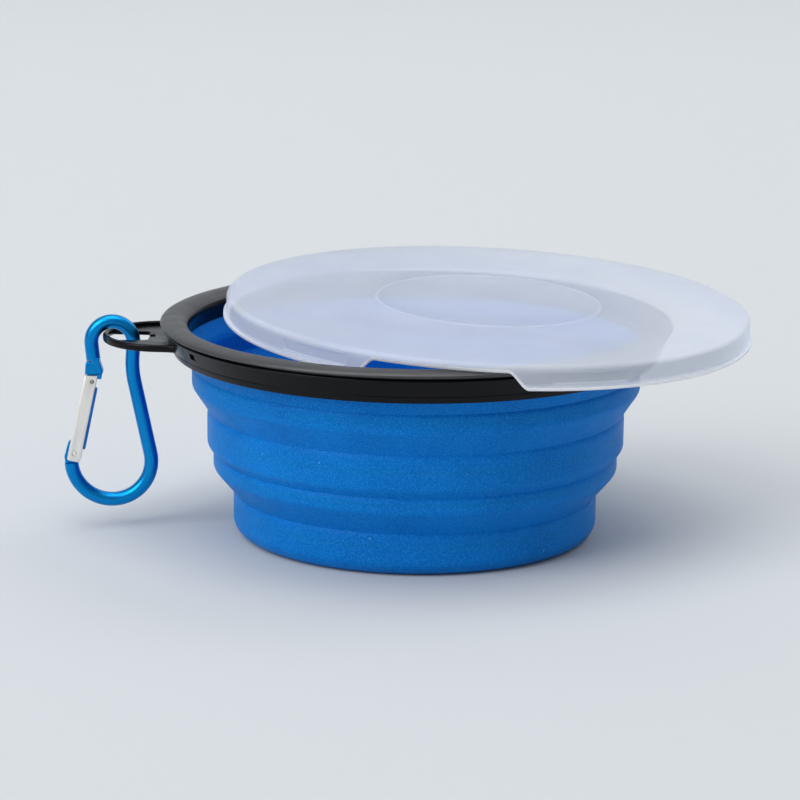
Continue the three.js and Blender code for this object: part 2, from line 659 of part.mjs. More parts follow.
/** Channel-shaped gate, open towards the inside and cut away over the nose blade and the tongue. */
function carabinerGate() {
  const topAlong = (across) => gateTop + across * Math.tan(gateLean);
  const webEnd = gateTop - WEB_FROM_TOP;
  const cheeks = slab(outline([
    ...ellipsePoints(0, 0, GATE_HALF_WIDTH, GATE_HALF_WIDTH, 180, 0, PIN_SIDES / 2)
      .map(([across, along]) => gatePoint(-along - GATE_HEEL, across)),
    gatePoint(topAlong(GATE_HALF_WIDTH), GATE_HALF_WIDTH),
    gatePoint(topAlong(-GATE_HALF_WIDTH), -GATE_HALF_WIDTH),
  ]), 2 * ROD_RADIUS);
  const far = 2 * GATE_HALF_WIDTH;
  const floor = WEB_THICKNESS - GATE_HALF_WIDTH;
  const beyond = gateTop + far;
  const channel = slab(outline([
    gatePoint(-far, -far),
    gatePoint(-far, far),
    gatePoint(beyond, far),
    gatePoint(beyond, -far),
    gatePoint(webEnd, -far),
    gatePoint(webEnd, floor),
    gatePoint(WEB_START, floor),
    gatePoint(WEB_START, -far),
  ]), 2 * (ROD_RADIUS - CHEEK_THICKNESS));
  const hingeHole = pin(pivot, HINGE_PIN_RADIUS + PIN_CLEARANCE, 4 * ROD_RADIUS);
  const latchHole = pin(latch, LATCH_PIN_RADIUS + SEAM, 4 * ROD_RADIUS);
  const gate = toSolid(cheeks)
    .subtract(toSolid(channel))
    .subtract(toSolid(hingeHole))
    .subtract(toSolid(latchHole));
  return toGeometry(gate);
}

/** Leaf spring along the open side of the gate's channel. */
function gateSpring() {
  const crest = GATE_HALF_WIDTH + SPRING_RISE;
  const springEnd = gateTop - SPRING_FROM_TOP;
  return slab(outline([
    gatePoint(SPRING_START, SPRING_SEAT),
    gatePoint(SPRING_START, crest - SPRING_RISE / 2),
    gatePoint(SPRING_START + 2 * SPRING_RISE, crest),
    gatePoint(springEnd - 2 * SPRING_RISE, crest),
    gatePoint(springEnd, crest - SPRING_RISE / 2),
    gatePoint(springEnd, SPRING_SEAT),
  ]), 2 * (ROD_RADIUS - CHEEK_THICKNESS - SPRING_CLEARANCE));
}

const bowl = new THREE.Group();
bowl.name = 'collapsible_travel_bowl';

/** Adds one named piece with its own material. */
function addPiece(name, geometry, color, roughness, metalness = 0, opacity = 1) {
  const material = new THREE.MeshStandardMaterial({ color, roughness, metalness });
  material.opacity = opacity;
  material.transparent = opacity < 1;
  const piece = new THREE.Mesh(closeGeometry(geometry), material);
  piece.name = name;
  bowl.add(piece);
}

const SILICONE = 0x0266ba;
const RIM_BLACK = 0x17161b;
const CLIP_BLUE = 0x0068b8;
const STEEL = 0xc8c8c8;
const BLUED_STEEL = 0x1c3c86;
const FROSTED = 0xc8d4e6;

addPiece('base_cup', baseCup(), SILICONE, 0.5);
addPiece('lower_fold', fold(baseRadius, lowerRadius, lowerFoldBottom, LOWER_FOLD_HEIGHT), SILICONE, 0.5);
addPiece('lower_band', band(lowerRadius, lowerBandBottom, LOWER_BAND_HEIGHT), SILICONE, 0.5);
addPiece('middle_fold', fold(lowerRadius, middleRadius, middleFoldBottom, MIDDLE_FOLD_HEIGHT),
  SILICONE, 0.5);
addPiece('middle_band', band(middleRadius, middleBandBottom, MIDDLE_BAND_HEIGHT), SILICONE, 0.5);
addPiece('upper_fold', fold(middleRadius, collarRadius, upperFoldBottom, UPPER_FOLD_HEIGHT), SILICONE, 0.5);
addPiece('collar_band', band(collarRadius, collarBandBottom, COLLAR_BAND_HEIGHT), SILICONE, 0.5);
addPiece('collar_fold', fold(collarRadius, neckRadius, collarFoldBottom, COLLAR_FOLD_HEIGHT), SILICONE, 0.5);
addPiece('bowl_flange', bowlFlange(), SILICONE, 0.5);
addPiece('rim_ring', rimRing(), RIM_BLACK, 0.4);
addPiece('rim_lock_ring', rimLockRing(), RIM_BLACK, 0.4);
addPiece('lid', lid(), FROSTED, 0.4, 0, 0.6);
addPiece('carabiner_frame', carabinerFrame(), CLIP_BLUE, 0.3, 0.6);
addPiece('carabiner_gate', carabinerGate(), STEEL, 0.3, 0.9);
addPiece('gate_hinge_pin', pin(pivot, HINGE_PIN_RADIUS, 2 * ROD_RADIUS), STEEL, 0.3, 0.9);
addPiece('gate_latch_pin', pin(latch, LATCH_PIN_RADIUS, 2 * ROD_RADIUS), STEEL, 0.3, 0.9);
addPiece('gate_spring', gateSpring(), BLUED_STEEL, 0.4, 0.8);

export default bowl;
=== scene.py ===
"""Looks of a collapsible travel bowl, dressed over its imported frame.

The bowl has a silicone wall of bands and folds, a black two-part rim with a hang tab, a blue
spring-gate carabiner in the tab and a frosted lid that lies askew on the rim. Sizes in the classes
are millimetres; meshes are metres in the frame's own axes, +Z up, hang tab towards -X.
"""
import logging
import math
from dataclasses import dataclass
from enum import Enum
from typing import Any, Sequence

import bmesh
import bpy
from mathutils import Matrix, Vector


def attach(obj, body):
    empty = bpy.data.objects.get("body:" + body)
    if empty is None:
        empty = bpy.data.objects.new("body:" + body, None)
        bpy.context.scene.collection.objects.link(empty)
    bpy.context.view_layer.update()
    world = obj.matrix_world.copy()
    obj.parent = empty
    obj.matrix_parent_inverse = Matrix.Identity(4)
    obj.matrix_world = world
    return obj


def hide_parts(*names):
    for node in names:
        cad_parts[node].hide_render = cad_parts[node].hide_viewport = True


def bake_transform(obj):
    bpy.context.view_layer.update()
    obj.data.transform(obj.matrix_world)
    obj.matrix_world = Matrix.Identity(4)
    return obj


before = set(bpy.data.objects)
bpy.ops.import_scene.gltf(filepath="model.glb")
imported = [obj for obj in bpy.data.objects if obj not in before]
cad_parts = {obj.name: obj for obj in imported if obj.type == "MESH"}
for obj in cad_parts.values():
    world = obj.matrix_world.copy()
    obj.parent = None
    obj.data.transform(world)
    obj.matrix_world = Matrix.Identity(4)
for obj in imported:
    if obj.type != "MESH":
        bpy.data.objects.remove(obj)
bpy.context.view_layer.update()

log = logging.getLogger("travel_bowl")

Point = tuple[float, float]
Corner = tuple[float, float, float]
Station = tuple[float, list[Point]]
Mesh = bpy.types.Mesh
Object = bpy.types.Object
Material = bpy.types.Material
Tree = bpy.types.NodeTree
Node = bpy.types.Node
Socket = bpy.types.NodeSocket

MM = 0.001
WELD = 1e-6
ROUND_STEPS = 6
RING_STATIONS = 192
HOLE_SIDES = 24
BROKEN_EDGE_ANGLE = 40.0

# Sockets of the mix node when it blends colours
MIX_SHARE, MIX_FIRST, MIX_SECOND, MIX_RESULT = 0, 6, 7, 2

# Patterns of a finish, as multiples of its grain, and how strongly its relief bends the light
MOTTLE_GRAINS = 40
GLOSS_GRAINS = 12
RELIEF_STRENGTH = 0.6


class Body(str, Enum):
    """Bodies of the frame that a piece can ride on."""

    RIM = "rim"
    COLLAR = "collar"
    MIDDLE = "middle"
    LOWER = "lower"
    BASE = "base"
    LID = "lid"
    CARABINER = "carabiner"
    GATE = "gate"


class Slot(str, Enum):
    """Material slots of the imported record."""

    SILICONE = "silicone"
    RIM = "rim_plastic"
    LID = "frosted_plastic"
    CLIP = "clip_blue"
    GATE = "gate_metal"
    PIN = "pin_steel"
    SPRING = "spring_steel"


class Plane(Enum):
    """Plane that a flat outline is drawn in, as the turn that takes XY to it."""

    LEVEL = 0.0
    UPRIGHT = 90.0


class Cut(str, Enum):
    """Ways in which one solid changes another."""

    KEEP_COMMON = "INTERSECT"
    TAKE_AWAY = "DIFFERENCE"


# Lines and outlines


def arc(centre: Point, half_width: float, half_height: float, start: float, end: float,
        steps: int = ROUND_STEPS) -> list[Point]:
    """Points on part of an ellipse.

    Args:
        centre: Centre of the ellipse.
        half_width: Half of its width.
        half_height: Half of its height.
        start: First angle in degrees.
        end: Last angle in degrees.
        steps: Number of chords.

    Returns:
        The points from the first angle to the last.
    """
    angles = [math.radians(start + (end - start) * i / steps) for i in range(steps + 1)]
    return [(centre[0] + half_width * math.cos(a), centre[1] + half_height * math.sin(a)) for a in angles]


def circle(centre: Point, radius: float) -> list[Point]:
    """Closed outline of a round hole."""
    return arc(centre, radius, radius, 0, 360 - 360 / HOLE_SIDES, HOLE_SIDES - 1)


def bow(start: Point, pull: Point, end: Point, steps: int) -> list[Point]:
    """Points on a curve that sets out towards a second point and ends at a third.

    Args:
        start: First point.
        pull: Point that the curve sets out towards.
        end: Last point.
        steps: Number of chords.

    Returns:
        The points from first to last.
    """
    curve = []
    for step in range(steps + 1):
        t = step / steps
        shares = ((1 - t) ** 2, 2 * t * (1 - t), t ** 2)
        curve.append(tuple(sum(s * p[i] for s, p in zip(shares, (start, pull, end))) for i in (0, 1)))
    return curve


def rounded(corners: Sequence[Corner], steps: int = ROUND_STEPS) -> list[Point]:
    """Rounds the corners of an open line.

    Args:
        corners: Corner points, each with the radius of its rounding.
        steps: Chords in each rounding.

    Returns:
        The points of the rounded line.
    """
    line: list[Point] = []
    for index, (x, y, radius) in enumerate(corners):
        if radius == 0 or index in (0, len(corners) - 1):
            line.append((x, y))
            continue
        here = Vector((x, y))
        before = (Vector(corners[index - 1][:2]) - here).normalized()
        after = (Vector(corners[index + 1][:2]) - here).normalized()
        half = before.angle(after) / 2
        centre = here + (before + after).normalized() * radius / math.sin(half)
        spoke = here + before * radius / math.tan(half) - centre
        side = 1 if before.x * after.y < before.y * after.x else -1
        for step in range(steps + 1):
            turn = Matrix.Rotation(side * (math.pi - 2 * half) * step / steps, 2)
            line.append(tuple(centre + turn @ spoke))
    return line


def divided(line: Sequence[Point], longest: float) -> list[Point]:
    """Splits the long stretches of a line into even steps.

    Args:
        line: Points of the line.
        longest: Longest step that stays.

    Returns:
        The line with the added points.
    """
    points = [line[0]]
    for (x0, y0), (x1, y1) in zip(line, line[1:]):
        parts = max(1, math.ceil(math.hypot(x1 - x0, y1 - y0) / longest))
        points += [(x0 + (x1 - x0) * i / parts, y0 + (y1 - y0) * i / parts) for i in range(1, parts + 1)]
    return points


def level_point(line: Sequence[Point], level: float) -> Point:
    """Where a rising or falling line passes a level.

    Args:
        line: Points of radius and level.
        level: Level to look for.

    Returns:
        The point at that level.
    """
    for (r0, z0), (r1, z1) in zip(line, line[1:]):
        if min(z0, z1) <= level <= max(z0, z1):
            return r0 + (r1 - r0) * (level - z0) / (z1 - z0), level
    raise ValueError(f"the line does not pass level {level}")


def smooth_step(value: float, low: float, high: float) -> float:
    """Rises smoothly from 0 at low to 1 at high.

    Args:
        value: Where it is read.
        low: Where the rise starts.
        high: Where it ends.

    Returns:
        The share from 0 to 1.
    """
    share = min(1.0, max(0.0, (value - low) / (high - low)))
    return share * share * (3 - 2 * share)


# Meshes and objects


def placed(name: str, data: bpy.types.ID) -> Object:
    """Puts data into the scene as an object at the origin.

    Args:
        name: Name of the object.
        data: Mesh, curve, light or camera.

    Returns:
        The object.
    """
    holder = bpy.data.objects.new(name, data)
    bpy.context.scene.collection.objects.link(holder)
    return holder


def welded(name: str, meshes: Sequence[Mesh]) -> Mesh:
    """Joins meshes into one with its faces turned outwards, and removes them.

    Args:
        name: Name of the new mesh.
        meshes: Meshes in metres.

    Returns:
        The joined mesh.
    """
    work = bmesh.new()
    for mesh in meshes:
        work.from_mesh(mesh)
        bpy.data.meshes.remove(mesh)
    bmesh.ops.remove_doubles(work, verts=work.verts, dist=WELD)
    bmesh.ops.recalc_face_normals(work, faces=work.faces)
    whole = bpy.data.meshes.new(name)
    work.to_mesh(whole)
    work.free()
    return whole


def finish_mesh(name: str, meshes: Sequence[Mesh], material: Material,
                crease: float = 35.0) -> Object:
    """Joins meshes into one smooth piece with crisp edges where it turns sharply.

    Args:
        name: Name of the piece.
        meshes: Closed meshes in metres, which are used up.
        material: Its material.
        crease: Angle in degrees past which an edge stays crisp.

    Returns:
        The piece, at the origin.
    """
    whole = welded(name, meshes)
    whole.shade_smooth()
    whole.set_sharp_from_angle(angle=math.radians(crease))
    whole.materials.append(material)
    return placed(name, whole)


def turned(stations: Sequence[Station], closed: bool = True) -> Mesh:
    """Skins profiles that stand round the Z axis.

    Args:
        stations: Angle in radians and profile of radius and height at each station.
        closed: Whether the profile closes on itself; otherwise it runs from axis to axis.

    Returns:
        The mesh in metres.
    """
    count = len(stations[0][1])
    points = [(r * math.cos(a) * MM, r * math.sin(a) * MM, z * MM) for a, line in stations for r, z in line]
    faces = []
    for station in range(len(stations)):
        here = station * count
        there = (station + 1) % len(stations) * count
        for i in range(count if closed else count - 1):
            j = (i + 1) % count
            faces.append((here + i, there + i, there + j, here + j))
    mesh = bpy.data.meshes.new("turned")
    mesh.from_pydata(points, [], faces)
    return mesh


def ring(profile: list[Point], closed: bool = True) -> Mesh:
    """Turns one profile all the way round the Z axis."""
    return turned([(2 * math.pi * i / RING_STATIONS, profile) for i in range(RING_STATIONS)], closed)


def plain_mesh(source: Object) -> Mesh:
    """Takes an object's final shape as a plain mesh and removes the object.

    Args:
        source: Curve or mesh object, modifiers included.

    Returns:
        The mesh, with the object's own place applied.
    """
    shape = source.evaluated_get(bpy.context.evaluated_depsgraph_get())
    mesh = bpy.data.meshes.new_from_object(shape)
    mesh.transform(source.matrix_world)
    bpy.data.objects.remove(source)
    return mesh


def plate(outline: Sequence[Point], thickness: float, bevel: float, offset: float = 0.0,
          plane: Plane = Plane.UPRIGHT, holes: Sequence[Sequence[Point]] = ()) -> Mesh:
    """Thickens a flat outline to both sides and rounds its edges.

    Args:
        outline: Closed outline.
        thickness: Thickness across the plane.
        bevel: Radius of the rounded edges.
        offset: How far the plate's middle lies off the plane.
        plane: Plane of the outline.
        holes: Closed outlines that are left open.

    Returns:
        The mesh in metres.
    """
    curve = bpy.data.curves.new("plate", "CURVE")
    curve.dimensions = "2D"
    curve.fill_mode = "BOTH"
    curve.extrude = (thickness / 2 - bevel) * MM
    curve.bevel_depth = bevel * MM
    curve.bevel_resolution = 3
    curve.offset = -bevel * MM
    for line in (outline, *holes):
        spline = curve.splines.new("POLY")
        spline.points.add(len(line) - 1)
        for point, (x, y) in zip(spline.points, line):
            point.co = (x * MM, y * MM, 0, 1)
        spline.use_cyclic_u = True
    mesh = plain_mesh(placed("plate", curve))
    mesh.transform(Matrix.Translation((0, 0, offset * MM)))
    mesh.transform(Matrix.Rotation(math.radians(plane.value), 4, "X"))
    return welded("plate", [mesh])


def machined(body: Mesh, cuts: Sequence[tuple[Cut, Mesh]],
             edge: float = 0.0) -> Mesh:
    """Cuts a solid with others and breaks its sharp edges.

    Args:
        body: Mesh that is cut.
        cuts: Meshes that cut it, with the way they do.
        edge: Width of the broken edges, or 0 to leave them.

    Returns:
        The finished mesh.
    """
    holder = placed("machined", body)
    tools = []
    for way, mesh in cuts:
        tool = placed("tool", mesh)
        tools.append(tool)
        step = holder.modifiers.new("cut", "BOOLEAN")
        step.operation = way.value
        step.solver = "EXACT"
        step.object = tool
    if edge:
        break_edges = holder.modifiers.new("edges", "BEVEL")
        break_edges.width = edge * MM
        break_edges.segments = 2
        break_edges.limit_method = "ANGLE"
        break_edges.angle_limit = math.radians(BROKEN_EDGE_ANGLE)
    mesh = plain_mesh(holder)
    for tool in tools:
        bpy.data.objects.remove(tool)
    return mesh


def ride(piece: Object, body: Body, slot: Slot, *nodes: str) -> Object:
    """Sets a rigid piece on its body in place of the nodes that it stands for.

    Args:
        piece: Finished piece.
        body: Body that it moves with.
        slot: Material slot of the piece; not used.
        nodes: Frame nodes that it replaces.

    Returns:
        The piece.
    """
    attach(piece, body.value)
    if nodes:
        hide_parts(*nodes)
    return piece


# Nodes


def linear(hex_colour: str) -> tuple[float, float, float, float]:
    """Turns an sRGB hex colour such as #0266BA to linear red, green, blue and alpha."""
    channels = [int(hex_colour[i:i + 2], 16) / 255 for i in (1, 3, 5)]
    return (*(c / 12.92 if c <= 0.04045 else ((c + 0.055) / 1.055) ** 2.4 for c in channels), 1.0)


def per_mm(size: float) -> float:
    """Texture scale on Object coordinates whose features are about this many millimetres wide."""
    return 1 / (size * MM)


def add_node(tree: Tree, kind: str, values: dict[Any, Any] | None = None,
             links: dict[Any, Socket] | None = None, **settings: Any) -> Node:
    """Adds a node with its settings, values and links.

    Args:
        tree: Tree that the node goes into.
        kind: Blender's name of the node type.
        values: Values for inputs, by name or number.
        links: Output sockets for inputs, by name or number.
        settings: Properties of the node.

    Returns:
        The node.
    """
    node = tree.nodes.new(kind)
    for name, value in settings.items():
        setattr(node, name, value)
    for key, value in (values or {}).items():
        node.inputs[key].default_value = value
    for key, socket in (links or {}).items():
        tree.links.new(socket, node.inputs[key])
    return node


def varied(tree: Tree, place: Socket, size: float, low: float, high: float,
           detail: float = 2.0, band: Point = (0.3, 0.7)) -> Socket:
    """A number that wanders between two values over the surface.

    Args:
        tree: Tree of the material.
        place: Coordinates that the pattern follows.
        size: Width of its features in millimetres.
        low: Lowest usual value.
        high: Highest usual value.
        detail: Octaves of finer detail.
        band: Part of the noise that is spread between the two values.

    Returns:
        Socket with the number.
    """
    noise = add_node(tree, "ShaderNodeTexNoise", {"Scale": per_mm(size), "Detail": detail},
                     {"Vector": place})
    spread = {"From Min": band[0], "From Max": band[1], "To Min": low, "To Max": high}
    return add_node(tree, "ShaderNodeMapRange", spread, {"Value": noise.outputs["Fac"]}).outputs["Result"]


# Finishes


@dataclass(frozen=True)
class Finish:
    """A surface: what it is made of, and how it takes the light."""

    name: str
    colour: str
    second_colour: str
    roughness: float
    roughness_spread: float
    grain: float
    relief: float

    def material(self) -> Material:
        """The finish as a node material, which is made once.

        Returns:
            The material.
        """
        made = bpy.data.materials.get(self.name)
        if made is None:
            made = bpy.data.materials.new(self.name)
            made.use_nodes = True
            tree = made.node_tree
            tree.nodes.clear()
            surface = add_node(tree, "ShaderNodeBsdfPrincipled")
            add_node(tree, "ShaderNodeOutputMaterial", links={"Surface": surface.outputs["BSDF"]})
            self.dress(tree, surface, add_node(tree, "ShaderNodeTexCoord").outputs["Object"])
        return made

    def constants(self) -> dict[str, Any]:
        """Values of the shader's inputs that are the same all over, by name."""
        return {}

    def share(self, tree: Tree, place: Socket) -> Socket:
        """Share of the second colour, which mottles the surface."""
        return varied(tree, place, MOTTLE_GRAINS * self.grain, 0.0, 1.0, detail=4.0)

    def tint(self, tree: Tree, place: Socket) -> Socket:
        """Colour of the surface, between its two colours.

        Args:
            tree: Tree of the material.
            place: Object coordinates.

        Returns:
            Socket with the colour.
        """
        colours = {MIX_FIRST: linear(self.colour), MIX_SECOND: linear(self.second_colour)}
        links = {MIX_SHARE: self.share(tree, place)}
        return add_node(tree, "ShaderNodeMix", colours, links, data_type="RGBA").outputs[MIX_RESULT]

    def dress(self, tree: Tree, surface: Node, place: Socket) -> None:
        """Gives the surface its colour, uneven gloss, fine relief and constants.

        Args:
            tree: Tree of the material.
            surface: Its shader.
            place: Object coordinates.
        """
        low, high = self.roughness - self.roughness_spread, self.roughness + self.roughness_spread
        gloss = varied(tree, place, GLOSS_GRAINS * self.grain, low, high)
        height = varied(tree, place, self.grain, 0.0, 1.0)
        depth = {"Strength": RELIEF_STRENGTH, "Distance": self.relief * MM}
        relief = add_node(tree, "ShaderNodeBump", depth, {"Height": height})
        tree.links.new(self.tint(tree, place), surface.inputs["Base Color"])
        tree.links.new(gloss, surface.inputs["Roughness"])
        tree.links.new(relief.outputs["Normal"], surface.inputs["Normal"])
        for name, value in self.constants().items():
            surface.inputs[name].default_value = value


@dataclass(frozen=True)
class MouldedSilicone(Finish):
    """Silicone rubber from a fine-blasted mould: soft satin blue that holds a little lint."""

    name: str = "moulded_silicone_blue"
    colour: str = "#006DBE"
    second_colour: str = "#0178CC"
    roughness: float = 0.46
    roughness_spread: float = 0.05
    grain: float = 0.45
    relief: float = 0.045
    speckle_colour: str = "#2E9BEA"
    speckle_size: float = 0.42
    speckle_share: float = 0.34
    speckle_band: Point = (0.42, 0.66)
    lint_colour: str = "#8DBDE6"
    lint_spacing: float = 9.0
    lint_radius: float = 0.13
    lint_share: float = 0.6
    glow: float = 0.3
    glow_reach: float = 3.0

    def constants(self) -> dict[str, Any]:
        """Rubber's weak reflections, and a glow that carries blue light furthest."""
        return {"IOR": 1.41, "Specular IOR Level": 0.1, "Subsurface Weight": self.glow,
                "Subsurface Radius": (0.25, 0.6, 1.0), "Subsurface Scale": self.glow_reach * MM}

    def tint(self, tree: Tree, place: Socket) -> Socket:
        """Adds the blasted mould's speckle, drawn coarser than it is so that it shows, and sparse lint.

        Args:
            tree: Tree of the material.
            place: Object coordinates.

        Returns:
            Socket with the colour.
        """
        fleck = varied(tree, place, self.speckle_size, 0.0, self.speckle_share, 1.0, self.speckle_band)
        cells = add_node(tree, "ShaderNodeTexVoronoi", {"Scale": per_mm(self.lint_spacing)},
                         {"Vector": place})
        reach = self.lint_radius / self.lint_spacing
        fall = {"From Min": reach, "From Max": 2 * reach, "To Min": self.lint_share, "To Max": 0.0}
        lint = add_node(tree, "ShaderNodeMapRange", fall, {"Value": cells.outputs["Distance"]})
        colour = super().tint(tree, place)
        for share, over in ((fleck, self.speckle_colour), (lint.outputs["Result"], self.lint_colour)):
            layer = add_node(tree, "ShaderNodeMix", {MIX_SECOND: linear(over)},
                             {MIX_SHARE: share, MIX_FIRST: colour}, data_type="RGBA")
            colour = layer.outputs[MIX_RESULT]
        return colour


@dataclass(frozen=True)
class MouldedPolypropylene(Finish):
    """Black polypropylene from a polished mould: near black, with a grey satin sheen on its curves."""

    name: str = "moulded_polypropylene_black"
    colour: str = "#060608"
    second_colour: str = "#0B0A0D"
    roughness: float = 0.24
    roughness_spread: float = 0.025
    grain: float = 0.3
    relief: float = 0.006
    sheen: float = 0.17

    def constants(self) -> dict[str, Any]:
        """The plastic's own refraction, with its reflections held to its sheen."""
        return {"IOR": 1.49, "Specular IOR Level": self.sheen}


@dataclass(frozen=True)
class TexturedPaintedSheenPolypropylene(MouldedPolypropylene):
    """Black polypropylene from a spark-eroded mould: matt and finely grained, with its colour painted a
    lighter grey as a painted sheen where the light falls on the crown.
    """

    name: str = "textured_polypropylene_painted_sheen"
    # Lighter than the band's black: painted sheen on the lit top
    colour: str = "#1C1C20"
    second_colour: str = "#29292D"
    roughness: float = 0.42
    roughness_spread: float = 0.05
    grain: float = 0.4
    relief: float = 0.03
    sheen: float = 0.85


@dataclass(frozen=True)
class FrostedPolyethylene(Finish):
    """Natural polyethylene from a blasted mould: milky, with what lies behind it blurred to soft shades."""

    name: str = "frosted_polyethylene_natural"
    colour: str = "#C7CDD9"
    second_colour: str = "#CFD5E0"
    roughness: float = 0.36
    roughness_spread: float = 0.04
    grain: float = 0.4
    relief: float = 0.010
    cover: float = 0.58
    scatter: float = 4.0
    veil: float = 0.6
    veil_colour: str = "#CCD4E8"

    def constants(self) -> dict[str, Any]:
        """Lets light scatter through the sheet, part of it straight, under a milky veil.

        Returns:
            Values by the name of the input.
        """
        return {"IOR": 1.5, "Alpha": self.cover, "Subsurface Weight": 1.0,
                "Subsurface Radius": (1.0, 1.0, 1.0), "Subsurface Scale": self.scatter * MM,
                "Sheen Weight": self.veil, "Sheen Roughness": 0.5, "Sheen Tint": linear(self.veil_colour)}


@dataclass(frozen=True)
class FrostedPaintedHighlightEdge(FrostedPolyethylene):
    """Natural polyethylene at the foot of the skirt, painted whiter and more opaque: a painted highlight
    for the light piped along the sheet to its edge.
    """

    name: str = "frosted_polyethylene_painted_highlight"
    # Whiter than the sheet: painted highlight
    colour: str = "#F3F7FF"
    second_colour: str = "#F7FAFF"
    cover: float = 0.97


@dataclass(frozen=True)
class AnodisedAluminium(Finish):
    """Aluminium bar, tumbled and dyed blue as it is anodised: a coloured metal with soft bright lines."""

    name: str = "anodised_aluminium_blue"
    colour: str = "#0E86D0"
    second_colour: str = "#1890D8"
    roughness: float = 0.32
    roughness_spread: float = 0.05
    grain: float = 0.2
    relief: float = 0.006
    metal_share: float = 1.0

    def constants(self) -> dict[str, Any]:
        """Makes the surface a metal."""
        return {"Metallic": self.metal_share}


@dataclass(frozen=True)
class TumbledAluminium(AnodisedAluminium):
    """Plain aluminium, stamped and tumbled: pale satin silver with tiny dents."""

    name: str = "tumbled_aluminium_plain"
    colour: str = "#F5F1EA"
    second_colour: str = "#EBE8E2"
    roughness: float = 0.36
    metal_share: float = 0.45


@dataclass(frozen=True)
class DrawnSteel(AnodisedAluminium):
    """Steel wire, drawn and cropped: darker and greyer than the aluminium round it."""

    name: str = "drawn_steel_wire"
    colour: str = "#B4B2AF"
    second_colour: str = "#9E9C9A"
    roughness: float = 0.28


@dataclass(frozen=True)
class BluedSteel(AnodisedAluminium):
    """Spring steel strip, tempered: its thin oxide film gives the metal an even blue."""

    name: str = "blued_spring_steel"
    colour: str = "#2A78CC"
    second_colour: str = "#1F66B4"
    roughness: float = 0.3


@dataclass(frozen=True)
class StudioPaper(Finish):
    """Matt paper under the bowl: pale cool grey, with painted light that makes it lighter towards the back.
    """

    name: str = "studio_paper_pale"
    colour: str = "#C7CBCF"
    second_colour: str = "#D1D5D7"
    roughness: float = 0.9
    roughness_spread: float = 0.03
    grain: float = 1.2
    relief: float = 0.0
    # From near to far the paper's colour is painted lighter, standing in for the light
    near: float = -400.0
    far: float = 900.0

    def share(self, tree: Tree, place: Socket) -> Socket:
        """Share of the second, lighter colour, which rises from front to back as painted light.

        Args:
            tree: Tree of the material.
            place: Object coordinates.

        Returns:
            Socket with the share.
        """
        along = add_node(tree, "ShaderNodeSeparateXYZ", links={"Vector": place}).outputs["Y"]
        reach = {"From Min": self.near * MM, "From Max": self.far * MM}
        return add_node(tree, "ShaderNodeMapRange", reach, {"Value": along}).outputs["Result"]


# Sub-assemblies


